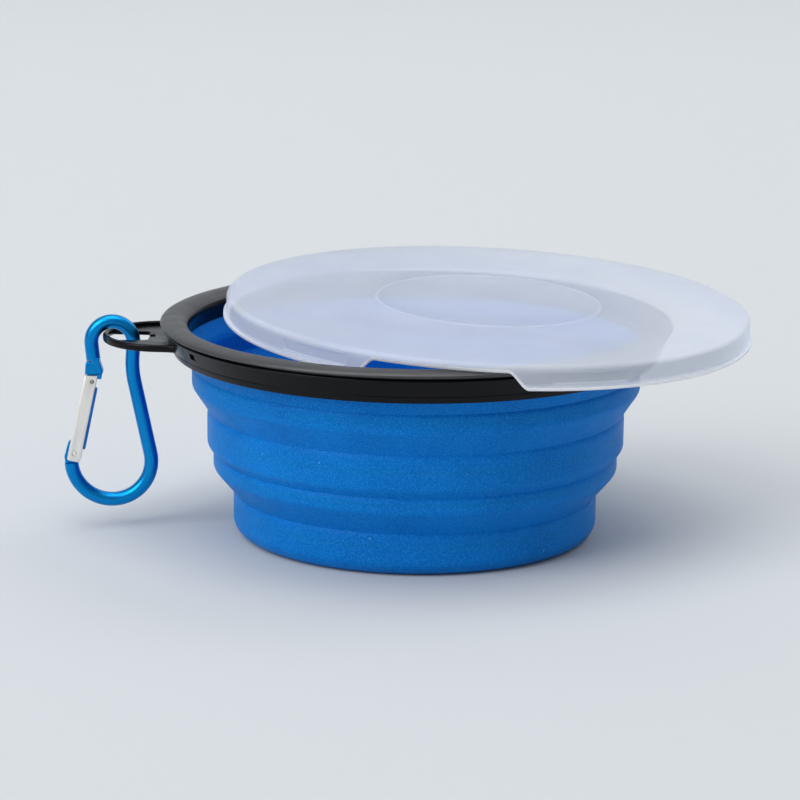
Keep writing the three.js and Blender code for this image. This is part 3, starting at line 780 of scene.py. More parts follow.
@dataclass
class SiliconeWall:
    """Folding wall of the bowl: five pieces that meet unseen at the middle of each upright band."""

    thickness: float = 1.2
    shoulder: float = 0.9
    shoulder_drop: float = 1.6
    shoulder_start: float = 60.0
    edge_round: float = 2.6
    crease_round: float = 0.2
    inner_round: float = 0.6
    inner_lift: float = 0.6
    straight: float = 3.0
    grip_outer: float = 59.38
    grip_inner: float = 58.92
    grip_foot: float = 48.5
    grip_start: float = 47.9
    inner_shelf: float = 49.2
    shelf_edge: float = 58.3
    shelf_start: float = 45.5
    longest_step: float = 0.7
    flange_radius: float = 61.0
    neck_radius: float = 58.65
    collar_radius: float = 57.1
    middle_radius: float = 53.2
    lower_radius: float = 51.65
    base_radius: float = 46.5
    base_corner: float = 4.0
    floor_thickness: float = 1.8
    flange_top: float = 52.2
    flange_bottom: float = 51.0
    neck_bottom: float = 49.2
    collar_fold_bottom: float = 43.5
    collar_bottom: float = 38.6
    upper_fold_bottom: float = 32.3
    middle_bottom: float = 23.4
    middle_fold_bottom: float = 21.3
    lower_bottom: float = 17.3
    lower_fold_bottom: float = 11.0
    base_seam: float = 7.5
    finish: Finish = MouldedSilicone()

    def fold_lines(self, upper: float, lower: float, top: float,
                   bottom: float) -> tuple[list[Point], list[Point]]:
        """Outer and inner line of the wall across one fold.

        Args:
            upper: Radius of the band above.
            lower: Radius of the band below.
            top: Level where the fold leaves the band above.
            bottom: Level of the shoulder of the band below.

        Returns:
            The outer line downwards and the inner line upwards, both without their ends at the seams.
        """
        shoulder = arc((lower - self.shoulder, bottom - self.shoulder_drop), self.shoulder,
                       self.shoulder_drop, self.shoulder_start, 0)
        slope = rounded([(upper, top + self.straight, 0), (upper, top, self.edge_round),
                         (*shoulder[0], self.crease_round), (*shoulder[1], 0)])
        inside = rounded([(lower - self.thickness, bottom - self.straight, 0),
                          (lower - self.thickness, bottom + self.inner_lift, self.inner_round),
                          (upper - self.thickness, top + self.inner_lift, self.inner_round),
                          (upper - self.thickness, top + self.straight, 0)])
        return slope[1:] + shoulder[2:], inside[1:-1]

    def fold_profile(self, upper: float, lower: float,
                     levels: tuple[float, float, float, float]) -> list[Point]:
        """Closed section of the wall from the middle of one band to the middle of the next.

        Args:
            upper: Radius of the band above.
            lower: Radius of the band below.
            levels: Upper seam, top of the fold, foot of the fold and lower seam.

        Returns:
            The closed profile.
        """
        seam, top, bottom, low_seam = levels
        outer, inner = self.fold_lines(upper, lower, top, bottom)
        down = divided([(upper, seam), *outer, (lower, low_seam)], self.longest_step)
        up = divided([(lower - self.thickness, low_seam), *inner, (upper - self.thickness, seam)],
                     self.longest_step)
        return down + up

    def neck_profile(self, low_seam: float) -> list[Point]:
        """Closed section of the flange, the neck and the fold below them.

        Args:
            low_seam: Level where it meets the collar's piece.

        Returns:
            The closed profile.
        """
        outer, inner = self.fold_lines(self.neck_radius, self.collar_radius, self.neck_bottom,
                                       self.collar_fold_bottom)
        falling = [level_point(outer, self.grip_start), *(p for p in outer if p[1] < self.grip_start)]
        rising = [*(p for p in inner if p[1] < self.shelf_start), level_point(inner, self.shelf_start)]
        down = divided([(self.flange_radius, self.flange_bottom), (self.grip_outer, self.flange_bottom),
                        (self.grip_outer, self.grip_foot), *falling, (self.collar_radius, low_seam)],
                       self.longest_step)
        up = divided([(self.collar_radius - self.thickness, low_seam), *rising,
                      (self.shelf_edge, self.inner_shelf), (self.grip_inner, self.inner_shelf)],
                     self.longest_step)
        return [(self.flange_radius, self.flange_top), *down, *up, (self.grip_inner, self.flange_top)]

    def base_profile(self) -> list[Point]:
        """Section of the base cup from the axis on its floor round to the axis under it.

        Returns:
            Radius and level of its points.
        """
        inner, corner = self.base_radius - self.thickness, self.base_corner
        hollow = corner - self.thickness
        return [
            (0, self.floor_thickness),
            *arc((inner - hollow, self.floor_thickness + hollow), hollow, hollow, -90, 0),
            (inner, self.base_seam),
            (self.base_radius, self.base_seam),
            *arc((self.base_radius - corner, corner), corner, corner, 0, -90, 2 * ROUND_STEPS),
            (0, 0),
        ]

    def build(self) -> list[Object]:
        """Makes the five pieces: four that run across a fold and stay where they are made, and the base
        cup, which rides on the base.

        Returns:
            The pieces from the rim down.
        """
        collar_seam = (self.collar_fold_bottom + self.collar_bottom) / 2
        middle_seam = (self.upper_fold_bottom + self.middle_bottom) / 2
        lower_seam = (self.middle_fold_bottom + self.lower_bottom) / 2
        upper = (collar_seam, self.collar_bottom, self.upper_fold_bottom, middle_seam)
        middle = (middle_seam, self.middle_bottom, self.middle_fold_bottom, lower_seam)
        lower = (lower_seam, self.lower_bottom, self.lower_fold_bottom, self.base_seam)
        folds = [
            ("silicone_neck", self.neck_profile(collar_seam), (Body.RIM, Body.COLLAR),
             (self.neck_bottom, self.collar_fold_bottom), ("bowl_flange", "collar_fold")),
            ("silicone_collar", self.fold_profile(self.collar_radius, self.middle_radius, upper),
             (Body.COLLAR, Body.MIDDLE), upper[1:3], ("collar_band", "upper_fold")),
            ("silicone_waist", self.fold_profile(self.middle_radius, self.lower_radius, middle),
             (Body.MIDDLE, Body.LOWER), middle[1:3], ("middle_band", "middle_fold")),
            ("silicone_skirt", self.fold_profile(self.lower_radius, self.base_radius, lower),
             (Body.LOWER, Body.BASE), lower[1:3], ("lower_band", "lower_fold")),
        ]
        material = self.finish.material()
        pieces = []
        for name, profile, (above, below), (top, bottom), nodes in folds:
            piece = finish_mesh(name, [ring(profile)], material)
            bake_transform(piece)
            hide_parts(*nodes)
            pieces.append(piece)
        cup = finish_mesh("silicone_base", [ring(self.base_profile(), closed=False)], material)
        return [*pieces, ride(cup, Body.BASE, Slot.SILICONE, "base_cup")]


@dataclass
class Rim:
    """Stiff rim of two rings that clamp the silicone, with the hang tab on the upper one."""

    crown_radius: float = 61.45
    crown_half_width: float = 3.65
    crown_height: float = 1.2
    crown_level: float = 54.4
    roll_drop: float = 3.2
    lip_outer: float = 58.9
    lip_inner: float = 58.3
    lip_bottom: float = 49.25
    # Radius, level and rounding of each corner from the brow down
    edge: tuple[Corner, ...] = ((64.85, 54.05, 0.15), (63.65, 53.9, 0.1), (63.6, 53.5, 0.1),
                                (64.85, 53.05, 0.3), (63.65, 52.6, 0.15))
    split_level: float = 49.0
    split_radius: float = 62.435
    split_round: float = 0.12
    split_gap: float = 0.05
    wall_inner: float = 61.185
    wall_gap: float = 0.1
    flange_level: float = 52.25
    lock_top: float = 50.95
    # Radius, level and rounding of each corner from the inner wall out
    lock_foot: tuple[Corner, ...] = ((59.4, 47.3, 0.2), (61.8, 47.3, 0.15), (62.0, 47.75, 0.2))
    lock_round: float = 0.1
    round_steps: int = 4
    tab_centre: float = -64.3
    tab_half_width: float = 15.5
    tab_root: float = -58.35
    tab_flare: float = 2.0
    tab_height: float = 1.9
    tab_border: float = 1.5
    tab_edge: float = 0.55
    tab_web: float = 1.0
    web_edge: float = 0.15
    web_gap: float = 0.05
    tab_seat_radius: float = 61.8
    side_steps: int = 12
    tip_steps: int = 48
    seat_steps: int = 8
    slot_reach: float = -90.0
    slot_half_width: float = 5.2
    slot_start: float = -68.0
    slot_corner: float = 1.2
    notch_depth: float = 1.5
    notch_half_width: float = 1.5
    notch_rounds: Point = (0.2, 0.3)
    window_angle: float = 29.0
    window_width: float = 2.6
    window_height: float = 1.5
    window_depth: float = 0.8
    window_out: float = 0.7
    window_level: float = 51.2
    # Level above which the crown's faces take the matt finish with its painted sheen
    matt_painted_sheen_level: float = 54.0
    finish: Finish = MouldedPolypropylene()
    crown_matt_painted_sheen_finish: Finish = TexturedPaintedSheenPolypropylene()

    def ring_profile(self) -> list[Point]:
        """Closed section of the upper ring: rolled crown, groove, bead, outer wall and inner lip.

        Returns:
            The closed profile of radius and level.
        """
        middle, half = self.crown_radius, self.crown_half_width
        top = self.crown_level + self.crown_height
        roll = arc((middle, top - self.roll_drop), half, self.roll_drop, 180, 90, 16)
        brow = arc((middle, self.crown_level), half, self.crown_height, 90, 0, 14)
        crown = roll + brow[1:]
        edge = rounded([
            (*crown[-1], 0),
            *self.edge,
            (self.split_radius, self.split_level, self.split_round),
            (self.wall_inner, self.split_level, 0),
            (self.wall_inner, self.flange_level, 0),
            (self.lip_outer, self.flange_level, 0),
            (self.lip_outer, self.lip_bottom, 0),
            (self.lip_inner, self.lip_bottom, 0),
        ], self.round_steps)
        return crown + edge[1:]

    def lock_profile(self) -> list[Point]:
        """Closed section of the lower ring that clamps the flange.

        Returns:
            The closed profile of radius and level.
        """
        level = self.split_level - self.split_gap
        shoulder = self.wall_inner - self.wall_gap
        return rounded([
            (self.lock_foot[0][0], self.lock_top, 0),
            *self.lock_foot,
            (self.split_radius, level, self.lock_round),
            (shoulder, level, 0),
            (shoulder, self.lock_top, 0),
        ], self.round_steps)

    def windows(self) -> list[tuple[Cut, Mesh]]:
        """Snap windows in the outer wall, one to each side of the tab.

        Returns:
            Each cut with the way it is made.
        """
        across, up = self.window_width / 2, self.window_height / 2
        opening = [(-across, -up), (across, -up), (across, up), (-across, up)]
        cuts = []
        for side in (-1, 1):
            mesh = plate(opening, 2 * self.window_depth, 0.0)
            out = -(self.split_radius + self.window_out)
            mesh.transform(Matrix.Translation((0, out * MM, self.window_level * MM)))
            mesh.transform(Matrix.Rotation(math.radians(side * self.window_angle - 90), 4, "Z"))
            cuts.append((Cut.TAKE_AWAY, mesh))
        return cuts

    def tab_line(self, inset: float) -> list[Point]:
        """Edge of the tab from one root to the other, clear of the ring's inner wall.

        Args:
            inset: How far the line is drawn in from the edge.

        Returns:
            The points from the +Y root round the tip to the -Y root.
        """
        half = self.tab_half_width - inset
        side = bow((self.tab_root, half + self.tab_flare), ((self.tab_root + self.tab_centre) / 2, half),
                   (self.tab_centre, half), self.side_steps)
        tip = arc((self.tab_centre, 0), half, half, 90, 270, self.tip_steps)
        line = side + tip[1:-1] + [(x, -y) for x, y in reversed(side)]
        return [p for p in line if math.hypot(*p) > self.tab_seat_radius]

    def seat(self, start: Point, end: Point) -> list[Point]:
        """Points along the ring's wall between two points on it.

        Args:
            start: Point where the run starts.
            end: Point where it ends.

        Returns:
            The points between them.
        """
        first, last = (math.degrees(math.atan2(y, -x)) for x, y in (start, end))
        radius = self.tab_seat_radius
        return [(-x, y) for x, y in arc((0, 0), radius, radius, first, last, self.seat_steps)[1:-1]]

    def tab_meshes(self) -> list[Mesh]:
        """Bead round the tab, and the web inside it with its slot and small notch.

        Returns:
            The two meshes in metres.
        """
        outer = self.tab_line(0.0)
        inner = list(reversed(self.tab_line(self.tab_border)))
        bead = outer + self.seat(outer[-1], inner[0]) + inner + self.seat(inner[-1], outer[0])
        half, start = self.slot_half_width, self.slot_start
        deep, across = start + self.notch_depth, self.notch_half_width
        bank = [(self.slot_reach, half, 0), (start, half, self.slot_corner),
                (start, across, self.notch_rounds[0]), (deep, across, self.notch_rounds[1])]
        slot = rounded(bank + [(x, -y, radius) for x, y, radius in reversed(bank)])[1:-1]
        web = self.tab_line(self.tab_border / 2)
        upper = [p for p in web if p[1] > half]
        lower = [p for p in web if p[1] < -half]
        floor = upper + slot + lower + self.seat(lower[-1], upper[0])
        middle = self.split_level + self.tab_height / 2
        low = self.split_level + self.web_gap + self.tab_web / 2
        return [
            plate(bead, self.tab_height, self.tab_edge, middle, Plane.LEVEL),
            plate(floor, self.tab_web, self.web_edge, low, Plane.LEVEL),
        ]

    def build(self) -> list[Object]:
        """Makes the upper ring, its tab and the lower ring.

        Returns:
            The three pieces.
        """
        material = self.finish.material()
        body = finish_mesh("ring_body", [ring(self.ring_profile())], material)
        upper = finish_mesh("rim_upper_ring", [machined(plain_mesh(body), self.windows())], material)
        # The crown's top faces take the lighter grey: painted sheen where the light falls, over a real matt
        # grain
        upper.data.materials.append(self.crown_matt_painted_sheen_finish.material())
        for face in upper.data.polygons:
            face.material_index = int(face.center.z > self.matt_painted_sheen_level * MM)
        tab = finish_mesh("rim_hang_tab", self.tab_meshes(), material)
        lower = finish_mesh("rim_lower_ring", [ring(self.lock_profile())], material)
        return [
            ride(upper, Body.RIM, Slot.RIM, "rim_ring"),
            ride(tab, Body.RIM, Slot.RIM),
            ride(lower, Body.RIM, Slot.RIM, "rim_lock_ring"),
        ]


@dataclass
class Lid:
    """Frosted snap lid, laid askew: plate with a plain ring, skirt with a notch, pockets and a lip."""

    radius: float = 66.7
    wall: float = 0.97
    skirt: float = 5.2
    edge: float = 1.25
    lip_rise: float = 0.68
    lip_height: float = 1.05
    # Share of the lip's rise, and drop from the lip's top
    lip_line: tuple[Point, ...] = ((0.0, -0.45), (0.35, -0.1), (1.0, 0.15))
    foot_band: float = 0.85
    foot_round: float = 0.25
    inner_round: float = 0.2
    top_rings: tuple[float, ...] = (40.0, 52.0, 62.0)
    middle_ring: float = 14.0
    under_rings: tuple[float, ...] = (52.0, 26.0, 0.0)
    ring_radius: float = 28.5
    ring_width: float = 1.6
    ring_rise: float = 0.4
    ring_steps: int = 8
    notch_top: float = 16.2
    notch_bottom: float = 21.3
    notch_roof: float = 1.13
    pocket_half_angle: float = 8.5
    pocket_fade: float = 0.5
    pocket_depth: float = 0.35
    pocket_top: float = 0.9
    pocket_bottom: float = 3.5
    pocket_slope: float = 0.2
    snap_rise: float = 0.4
    snap_slope: float = 0.3
    snap_top: float = 3.0
    snap_bottom: float = 4.1
    pockets: tuple[float, ...] = (32.0, 106.0, 180.0, 254.0, 330.5)
    place: tuple[float, float, float] = (18.242, 3.612, 58.231)
    lean_front: float = 1.528
    lean_side: float = 2.22
    spin: float = -11.3
    crease: float = 50.0
    finish: Finish = FrostedPolyethylene()
    # Whiter finish for the skirt's foot: a painted highlight
    foot_painted_highlight_finish: Finish = FrostedPaintedHighlightEdge()

    def angles(self) -> list[float]:
        """Angles in degrees from the notch's middle, closer together where the skirt changes.

        Returns:
            The angles in rising order.
        """
        coarse = {float(i) for i in range(360)}
        reach = [math.degrees(math.asin(x / self.radius)) for x in (self.notch_top, self.notch_bottom)]
        margin, steps, pocket_steps, apart = 0.4, 24, 4, 0.05
        first = reach[0] - margin
        ends = [first + (reach[1] + margin - first) * i / steps for i in range(steps + 1)]
        fine = {side % 360 for end in ends for side in (end, -end)}
        for pocket in self.pockets:
            for edge in (pocket - self.pocket_half_angle, pocket + self.pocket_half_angle):
                fine |= {(edge + self.pocket_fade * i / pocket_steps) % 360
                         for i in range(-pocket_steps, pocket_steps + 1)}
        ordered = sorted(coarse | fine)
        return [a for i, a in enumerate(ordered) if i == 0 or a - ordered[i - 1] > apart]

    def section(self, angle: float) -> list[Point]:
        """Section of the lid at one angle, from the axis on top round to the axis underneath.

        Args:
            angle: Degrees from the middle of the notch.

        Returns:
            Radius and height, with the plate's underside at height 0.
        """
        aside = self.radius * abs(math.sin(math.radians(angle)))
        in_front = math.cos(math.radians(angle)) > 0
        slant = self.notch_bottom - self.notch_top
        notch = smooth_step(self.notch_bottom - aside, 0, slant) if in_front else 0.0
        off = min(abs((angle - p + 180) % 360 - 180) for p in self.pockets)
        pocket = 1 - smooth_step(off, self.pocket_half_angle - self.pocket_fade,
                                 self.pocket_half_angle + self.pocket_fade)
        foot = -self.skirt + (self.skirt - self.notch_roof) * notch
        turn = self.wall - self.edge
        band_top = self.skirt - self.foot_band
        squeeze = (foot + self.foot_band - turn) / (-band_top - turn)

        def level(drop: float) -> float:
            """Height on the skirt, drawn up where the notch is, with the foot left whole.

            Args:
                drop: How far down a whole skirt the place is.

            Returns:
                Its height over the plate's underside.
            """
            if drop > band_top:
                return foot + self.skirt - drop
            return turn + (-drop - turn) * squeeze

        lip = self.lip_rise * (1 - notch)
        lip_top = self.skirt - self.lip_height
        outer, inner = self.radius, self.radius - self.wall
        dented = outer - self.pocket_depth * pocket
        ridge = inner - self.snap_rise * pocket
        skirt = [
            (outer, self.pocket_top),
            (dented, self.pocket_top + self.pocket_slope),
            (dented, self.pocket_bottom - self.pocket_slope),
            (outer, self.pocket_bottom),
            *((outer + share * lip, lip_top + drop) for share, drop in self.lip_line),
            (outer + lip, band_top),
            (outer + lip, self.skirt - self.foot_round),
            (outer + lip - self.foot_round, self.skirt),
            (inner + self.inner_round, self.skirt),
            (inner, self.skirt - self.inner_round),
            (inner, self.snap_bottom),
            (ridge, self.snap_bottom - self.snap_slope),
            (ridge, self.snap_top + self.snap_slope),
            (inner, self.snap_top),
        ]
        shares = [i / self.ring_steps for i in range(self.ring_steps + 1)]
        bead = [(self.ring_radius + self.ring_width * (share - 0.5),
                 self.wall + self.ring_rise * math.sin(math.pi * share)) for share in shares]
        hollow = self.edge - self.wall
        return [
            (0, self.wall), (self.middle_ring, self.wall), *bead, *((r, self.wall) for r in self.top_rings),
            *arc((outer - self.edge, turn), self.edge, self.edge, 90, 0, 10),
            *((radius, level(drop)) for radius, drop in skirt),
            *arc((inner - hollow, -hollow), hollow, hollow, 0, 90, 4),
            *((radius, 0) for radius in self.under_rings),
        ]

    def pose(self) -> Matrix:
        """Where the lid lies: tilted over the rim and turned so that its notch straddles it.

        Returns:
            The place as a matrix in metres.
        """
        lift = Matrix.Translation(Vector(self.place) * MM)
        front = Matrix.Rotation(math.radians(self.lean_front), 4, "X")
        side = Matrix.Rotation(math.radians(self.lean_side), 4, "Y")
        return lift @ front @ side @ Matrix.Rotation(math.radians(self.spin), 4, "Z")

    def foot_steps(self) -> set[int]:
        """Steps of the section that run round the skirt's foot.

        Returns:
            The numbers of those steps.
        """
        section = self.section(180.0)
        band = self.foot_band - self.skirt
        return {i for i in range(len(section) - 1) if max(section[i][1], section[i + 1][1]) <= band + WELD}

    def build(self) -> list[Object]:
        """Makes the lid where it lies, its foot in a whiter finish that paints a highlight along the edge.

        Returns:
            The one piece.
        """
        mesh = turned([(math.radians(a - 90), self.section(a)) for a in self.angles()], closed=False)
        steps = len(self.section(180.0)) - 1
        foot = self.foot_steps()
        for face in mesh.polygons:
            face.material_index = int(face.index % steps in foot)
        mesh.transform(self.pose())
        piece = finish_mesh("frosted_lid", [mesh], self.finish.material(), self.crease)
        # The foot's faces take the whiter finish, a painted highlight along the edge
        piece.data.materials.append(self.foot_painted_highlight_finish.material())
        piece.visible_shadow = False  # a frosted sheet lets most of a lamp's light through
        return [ride(piece, Body.LID, Slot.LID, "lid")]


@dataclass
class Carabiner:
    """Round-bar carabiner with a hook nose, a channel gate on a pin and a leaf spring in the gate."""

    hook: Point = (-77.390, 48.290)
    hook_radius: float = 5.35
    hook_steps: int = 60
    rod_radius: float = 1.8
    rod_sides: int = 40
    nose_lean: float = -6.0
    nose_length: float = 4.0
    nose_bottom: float = 40.012
    # X, Z and rounding of the block's corners, from the end of the bar's centre line
    nose_outer: tuple[Corner, ...] = ((-0.2, 0.6, 0), (-0.2, -0.55, 0.15), (-1.85, -0.55, 0.3))
    # X and rounding of the corners at the block's bottom
    nose_foot: tuple[Point, ...] = ((-2.1, 0), (2.35, 0.15))
    nose_inner: tuple[Corner, ...] = ((2.5, -2.8, 0.5), (1.65, -0.3, 0.5), (1.65, 0.6, 0))
    nose_flat: float = 0.25
    nose_edge: float = 0.35
    neck_angle: float = 4.0
    bend: Point = (-77.910, 17.290)
    bend_radius: float = 10.25
    bend_end: float = -175.97
    bend_steps: int = 90
    spine_lean: float = 12.0
    kink_length: float = 3.5
    kink_steps: int = 16
    pivot: Point = (-87.160, 19.240)
    gate_lean: float = 11.712
    gate_half_width: float = 1.69
    gate_top: float = 20.907
    gate_heel: float = 0.3
    heel_round: float = 0.5
    gate_corner: float = 0.7
    cheek: float = 0.85
    web: float = 0.8
    web_start: float = 3.3
    web_end: float = 16.807
    # Place of the latch pin along and across the gate
    latch: Point = (19.507, 0.7)
    hinge_pin_radius: float = 0.65
    latch_pin_radius: float = 0.56
    pin_clearance: float = 0.03
    pin_dome: float = 0.25
    pin_sides: int = 32
    blade: float = 1.4
    blade_root: float = 0.8
    blade_heel: Point = (2.2, 0.4)
    blade_back: float = 2.55
    # X and Z of the tooth's corners, from the latch pin
    tooth: tuple[Point, ...] = ((-1.3, -0.45), (-0.65, -1.3), (0.45, -1.3), (0.45, -0.7), (0.05, -0.7))
    latch_slot: float = 0.7
    latch_sweep: Point = (262.0, 100.0)
    eye_radius: float = 1.5
    # Places along and across the gate, before and after the round eye
    tongue_start: Point = (-4.2, 0.75)
    tongue: tuple[Point, ...] = ((2.6, -0.32), (2.6, -1.4), (2.9, -1.95), (2.4, -2.25), (-1.5, -2.5),
                                 (-4.2, -1.5))
    spring_back: float = 1.0
    # Edge and crest over the gate's side, foot and tip along the gate, bevel along and down
    spring_lift: Point = (0.06, 0.65)
    spring_reach: Point = (1.4, 17.8)
    spring_bevel: Point = (0.4, 0.1)
    spring_gaps: Point = (0.4, 0.2)
    thin_edge: float = 0.12
    broken_edge: float = 0.1
    bar_finish: Finish = AnodisedAluminium()
    gate_finish: Finish = TumbledAluminium()
    pin_finish: Finish = DrawnSteel()
    spring_finish: Finish = BluedSteel()

    def gate_point(self, along: float, across: float) -> Point:
        """A place given along and across the gate, as X and Z.

        Args:
            along: Distance from the pivot towards the gate's top.
            across: Distance towards the inside of the carabiner.

        Returns:
            X and Z in millimetres.
        """
        lean = math.radians(self.gate_lean)
        return (self.pivot[0] + along * math.sin(lean) + across * math.cos(lean),
                self.pivot[1] + along * math.cos(lean) - across * math.sin(lean))

    def nose_end(self) -> Point:
        """Where the round bar ends above the nose block.

        Returns:
            X and Z in millimetres.
        """
        lean = math.radians(self.nose_lean)
        start = arc(self.hook, self.hook_radius, self.hook_radius, 180 - self.nose_lean, 0, 1)[0]
        return start[0] - self.nose_length * math.sin(lean), start[1] - self.nose_length * math.cos(lean)

    def bar_line(self) -> list[Point]:
        """Centre line of the bar from the nose over the hook, down the spine and round the bend.

        Returns:
            X and Z of its points in millimetres.
        """
        slope, neck_slope = (math.tan(math.radians(a)) for a in (self.spine_lean, self.neck_angle))
        hook = arc(self.hook, self.hook_radius, self.hook_radius, 180 - self.nose_lean, -self.neck_angle,
                   self.hook_steps)
        bend = arc(self.bend, self.bend_radius, self.bend_radius, self.spine_lean, self.bend_end,
                   self.bend_steps)
        neck, tangent = hook[-1], bend[0]
        rise = ((neck[1] - tangent[1]) * neck_slope - neck[0] + tangent[0]) / (slope + neck_slope)
        kink = (tangent[0] - rise * slope, tangent[1] + rise)
        start = (kink[0] + self.kink_length * neck_slope, kink[1] + self.kink_length)
        end = (kink[0] + self.kink_length * slope, kink[1] - self.kink_length)
        return [self.nose_end(), *hook, *bow(start, kink, end, self.kink_steps), *bend]

    def bar_tree(self) -> Tree:
        """Node tree that sweeps a round section along a line and closes its ends.

        Returns:
            The tree, with its sizes as named inputs.
        """
        tree = bpy.data.node_groups.new("round_bar_along_line", "GeometryNodeTree")
        inputs = {"Line": "Geometry", "Radius": "Float", "Sides": "Int", "Finish": "Material"}
        for name, kind in inputs.items():
            tree.interface.new_socket(name, in_out="INPUT", socket_type=f"NodeSocket{kind}")
        tree.interface.new_socket("Bar", in_out="OUTPUT", socket_type="NodeSocketGeometry")
        given = add_node(tree, "NodeGroupInput").outputs
        line = add_node(tree, "GeometryNodeMeshToCurve", links={"Mesh": given["Line"]})
        section = add_node(tree, "GeometryNodeCurvePrimitiveCircle",
                           links={"Resolution": given["Sides"], "Radius": given["Radius"]})
        bar = add_node(tree, "GeometryNodeCurveToMesh", {"Fill Caps": True},
                       {"Curve": line.outputs["Curve"], "Profile Curve": section.outputs["Curve"]})
        real = add_node(tree, "GeometryNodeRealizeInstances", links={"Geometry": bar.outputs["Mesh"]})
        dressed = add_node(tree, "GeometryNodeSetMaterial",
                           links={"Geometry": real.outputs["Geometry"], "Material": given["Finish"]})
        add_node(tree, "NodeGroupOutput", links={"Bar": dressed.outputs["Geometry"]})
        return tree

    def bar_mesh(self) -> Mesh:
        """Sweeps the round bar along its centre line.

        Returns:
            The mesh in metres.
        """
        points = [(x * MM, 0.0, z * MM) for x, z in self.bar_line()]
        path = bpy.data.meshes.new("bar_line")
        path.from_pydata(points, [(i, i + 1) for i in range(len(points) - 1)], [])
        holder = placed("bar_line", path)
        sweep = holder.modifiers.new("sweep", "NODES")
        sweep.node_group = self.bar_tree()
        finish = self.bar_finish.material()
        values = {"Radius": self.rod_radius * MM, "Sides": self.rod_sides, "Finish": finish}
        for item in sweep.node_group.interface.items_tree:
            if item.in_out == "INPUT" and item.name in values:
                sweep[item.identifier] = values[item.name]
        return plain_mesh(holder)

    def nose_meshes(self) -> list[Mesh]:
        """Block below the hook, and its flat blade with the slot that the latch pin slides into.

        Returns:
            The two meshes in metres.
        """
        x, z = self.nose_end()
        bottom = self.nose_bottom
        outer, inner = ([(x + dx, z + dz, radius) for dx, dz, radius in side]
                        for side in (self.nose_outer, self.nose_inner))
        foot = [(x + dx, bottom, radius) for dx, radius in self.nose_foot]
        block = rounded(outer + foot + inner, steps=4)
        lx, lz = self.gate_point(*self.latch)
        root = bottom + self.blade_root
        tooth = [(lx + dx, lz + dz) for dx, dz in self.tooth]
        heel, back = self.blade_heel, self.blade_back
        blade = [(tooth[0][0], root), *tooth,
                 *arc((lx, lz), self.latch_slot, self.latch_slot, *self.latch_sweep, 10),
                 (lx + heel[0], lz + heel[1]), (lx + back, root)]
        return [plate(block, 2 * self.rod_radius - self.nose_flat, self.nose_edge),
                plate(blade, self.blade, self.thin_edge)]

    def tongue_mesh(self) -> Mesh:
        """Flat end of the bar that the gate turns on, with a thin stop outside the gate.

        Returns:
            The mesh in metres.
        """
        at, radius = self.gate_point, self.eye_radius
        turns = [math.radians(angle) for angle in range(-15, 90, 20)]
        eye = [at(radius * math.sin(turn), radius * math.cos(turn)) for turn in turns]
        edge = [at(*self.tongue_start), *eye, *(at(*place) for place in self.tongue)]
        hole = circle(self.pivot, self.hinge_pin_radius + self.pin_clearance)
        return plate(edge, self.blade, self.broken_edge, holes=[hole])

    def gate_mesh(self) -> Mesh:
        """Channel with rounded outer corners, cut away over the nose blade and the tongue.

        Returns:
            The mesh in metres.
        """
        half, deep, corner = self.gate_half_width, self.rod_radius, self.gate_corner
        lean = math.radians(self.gate_lean)
        inside = deep - self.cheek
        channel = rounded([(half, -deep, 0), (-half, -deep, corner), (-half, deep, corner),
                           (half, deep, 0)])
        channel += [(half, inside), (self.web - half, inside), (self.web - half, -inside), (half, -inside)]
        # The channel starts longer than the gate, and each cutter reaches past what it cuts
        length = self.gate_top + 4 * half
        body = plate(channel, length, 0.0, plane=Plane.LEVEL)
        body.transform(Matrix.Translation((0, 0, (length / 2 - 2.5 * half) * MM)))
        body.transform(Matrix.Rotation(lean, 4, "Y"))
        body.transform(Matrix.Translation((self.pivot[0] * MM, 0, self.pivot[1] * MM)))
        end = -half - self.gate_heel
        foot = rounded([(0, -half, 0), (end, -half, self.heel_round), (end, half, self.heel_round),
                        (0, half, 0)])
        heel = [self.gate_point(*place) for place in foot]
        tops = [self.gate_point(self.gate_top + side * math.tan(lean), side) for side in (half, -half)]
        wide = 3 * deep
        cuts = [(Cut.KEEP_COMMON, plate(heel + tops, wide, 0.0))]
        for start, end in ((-5 * half, self.web_start), (self.web_end, length)):
            opening = [self.gate_point(along, across) for along, across in
                       ((start, -2 * half), (end, -2 * half), (end, 0), (start, 0))]
            cuts.append((Cut.TAKE_AWAY, plate(opening, 2 * inside, 0.0)))
        holes = ((self.pivot, self.hinge_pin_radius + self.pin_clearance),
                 (self.gate_point(*self.latch), self.latch_pin_radius + self.pin_clearance))
        for centre, radius in holes:
            cuts.append((Cut.TAKE_AWAY, plate(circle(centre, radius), wide, 0.0)))
        return machined(body, cuts, self.broken_edge)

    def pin_mesh(self, centre: Point, radius: float) -> Mesh:
        """Short pin along Y with domed ends.

        Args:
            centre: X and Z of its axis.
            radius: Its radius.

        Returns:
            The mesh in metres.
        """
        half, dome = self.rod_radius, self.pin_dome
        top = [(0.0, half), *arc((0, half - dome), radius, dome, 90, 0)[1:]]
        profile = top + [(r, -z) for r, z in reversed(top)]
        mesh = turned([(2 * math.pi * i / self.pin_sides, profile) for i in range(self.pin_sides)], False)
        mesh.transform(Matrix.Rotation(math.radians(90), 4, "X"))
        mesh.transform(Matrix.Translation((centre[0] * MM, 0, centre[1] * MM)))
        return mesh

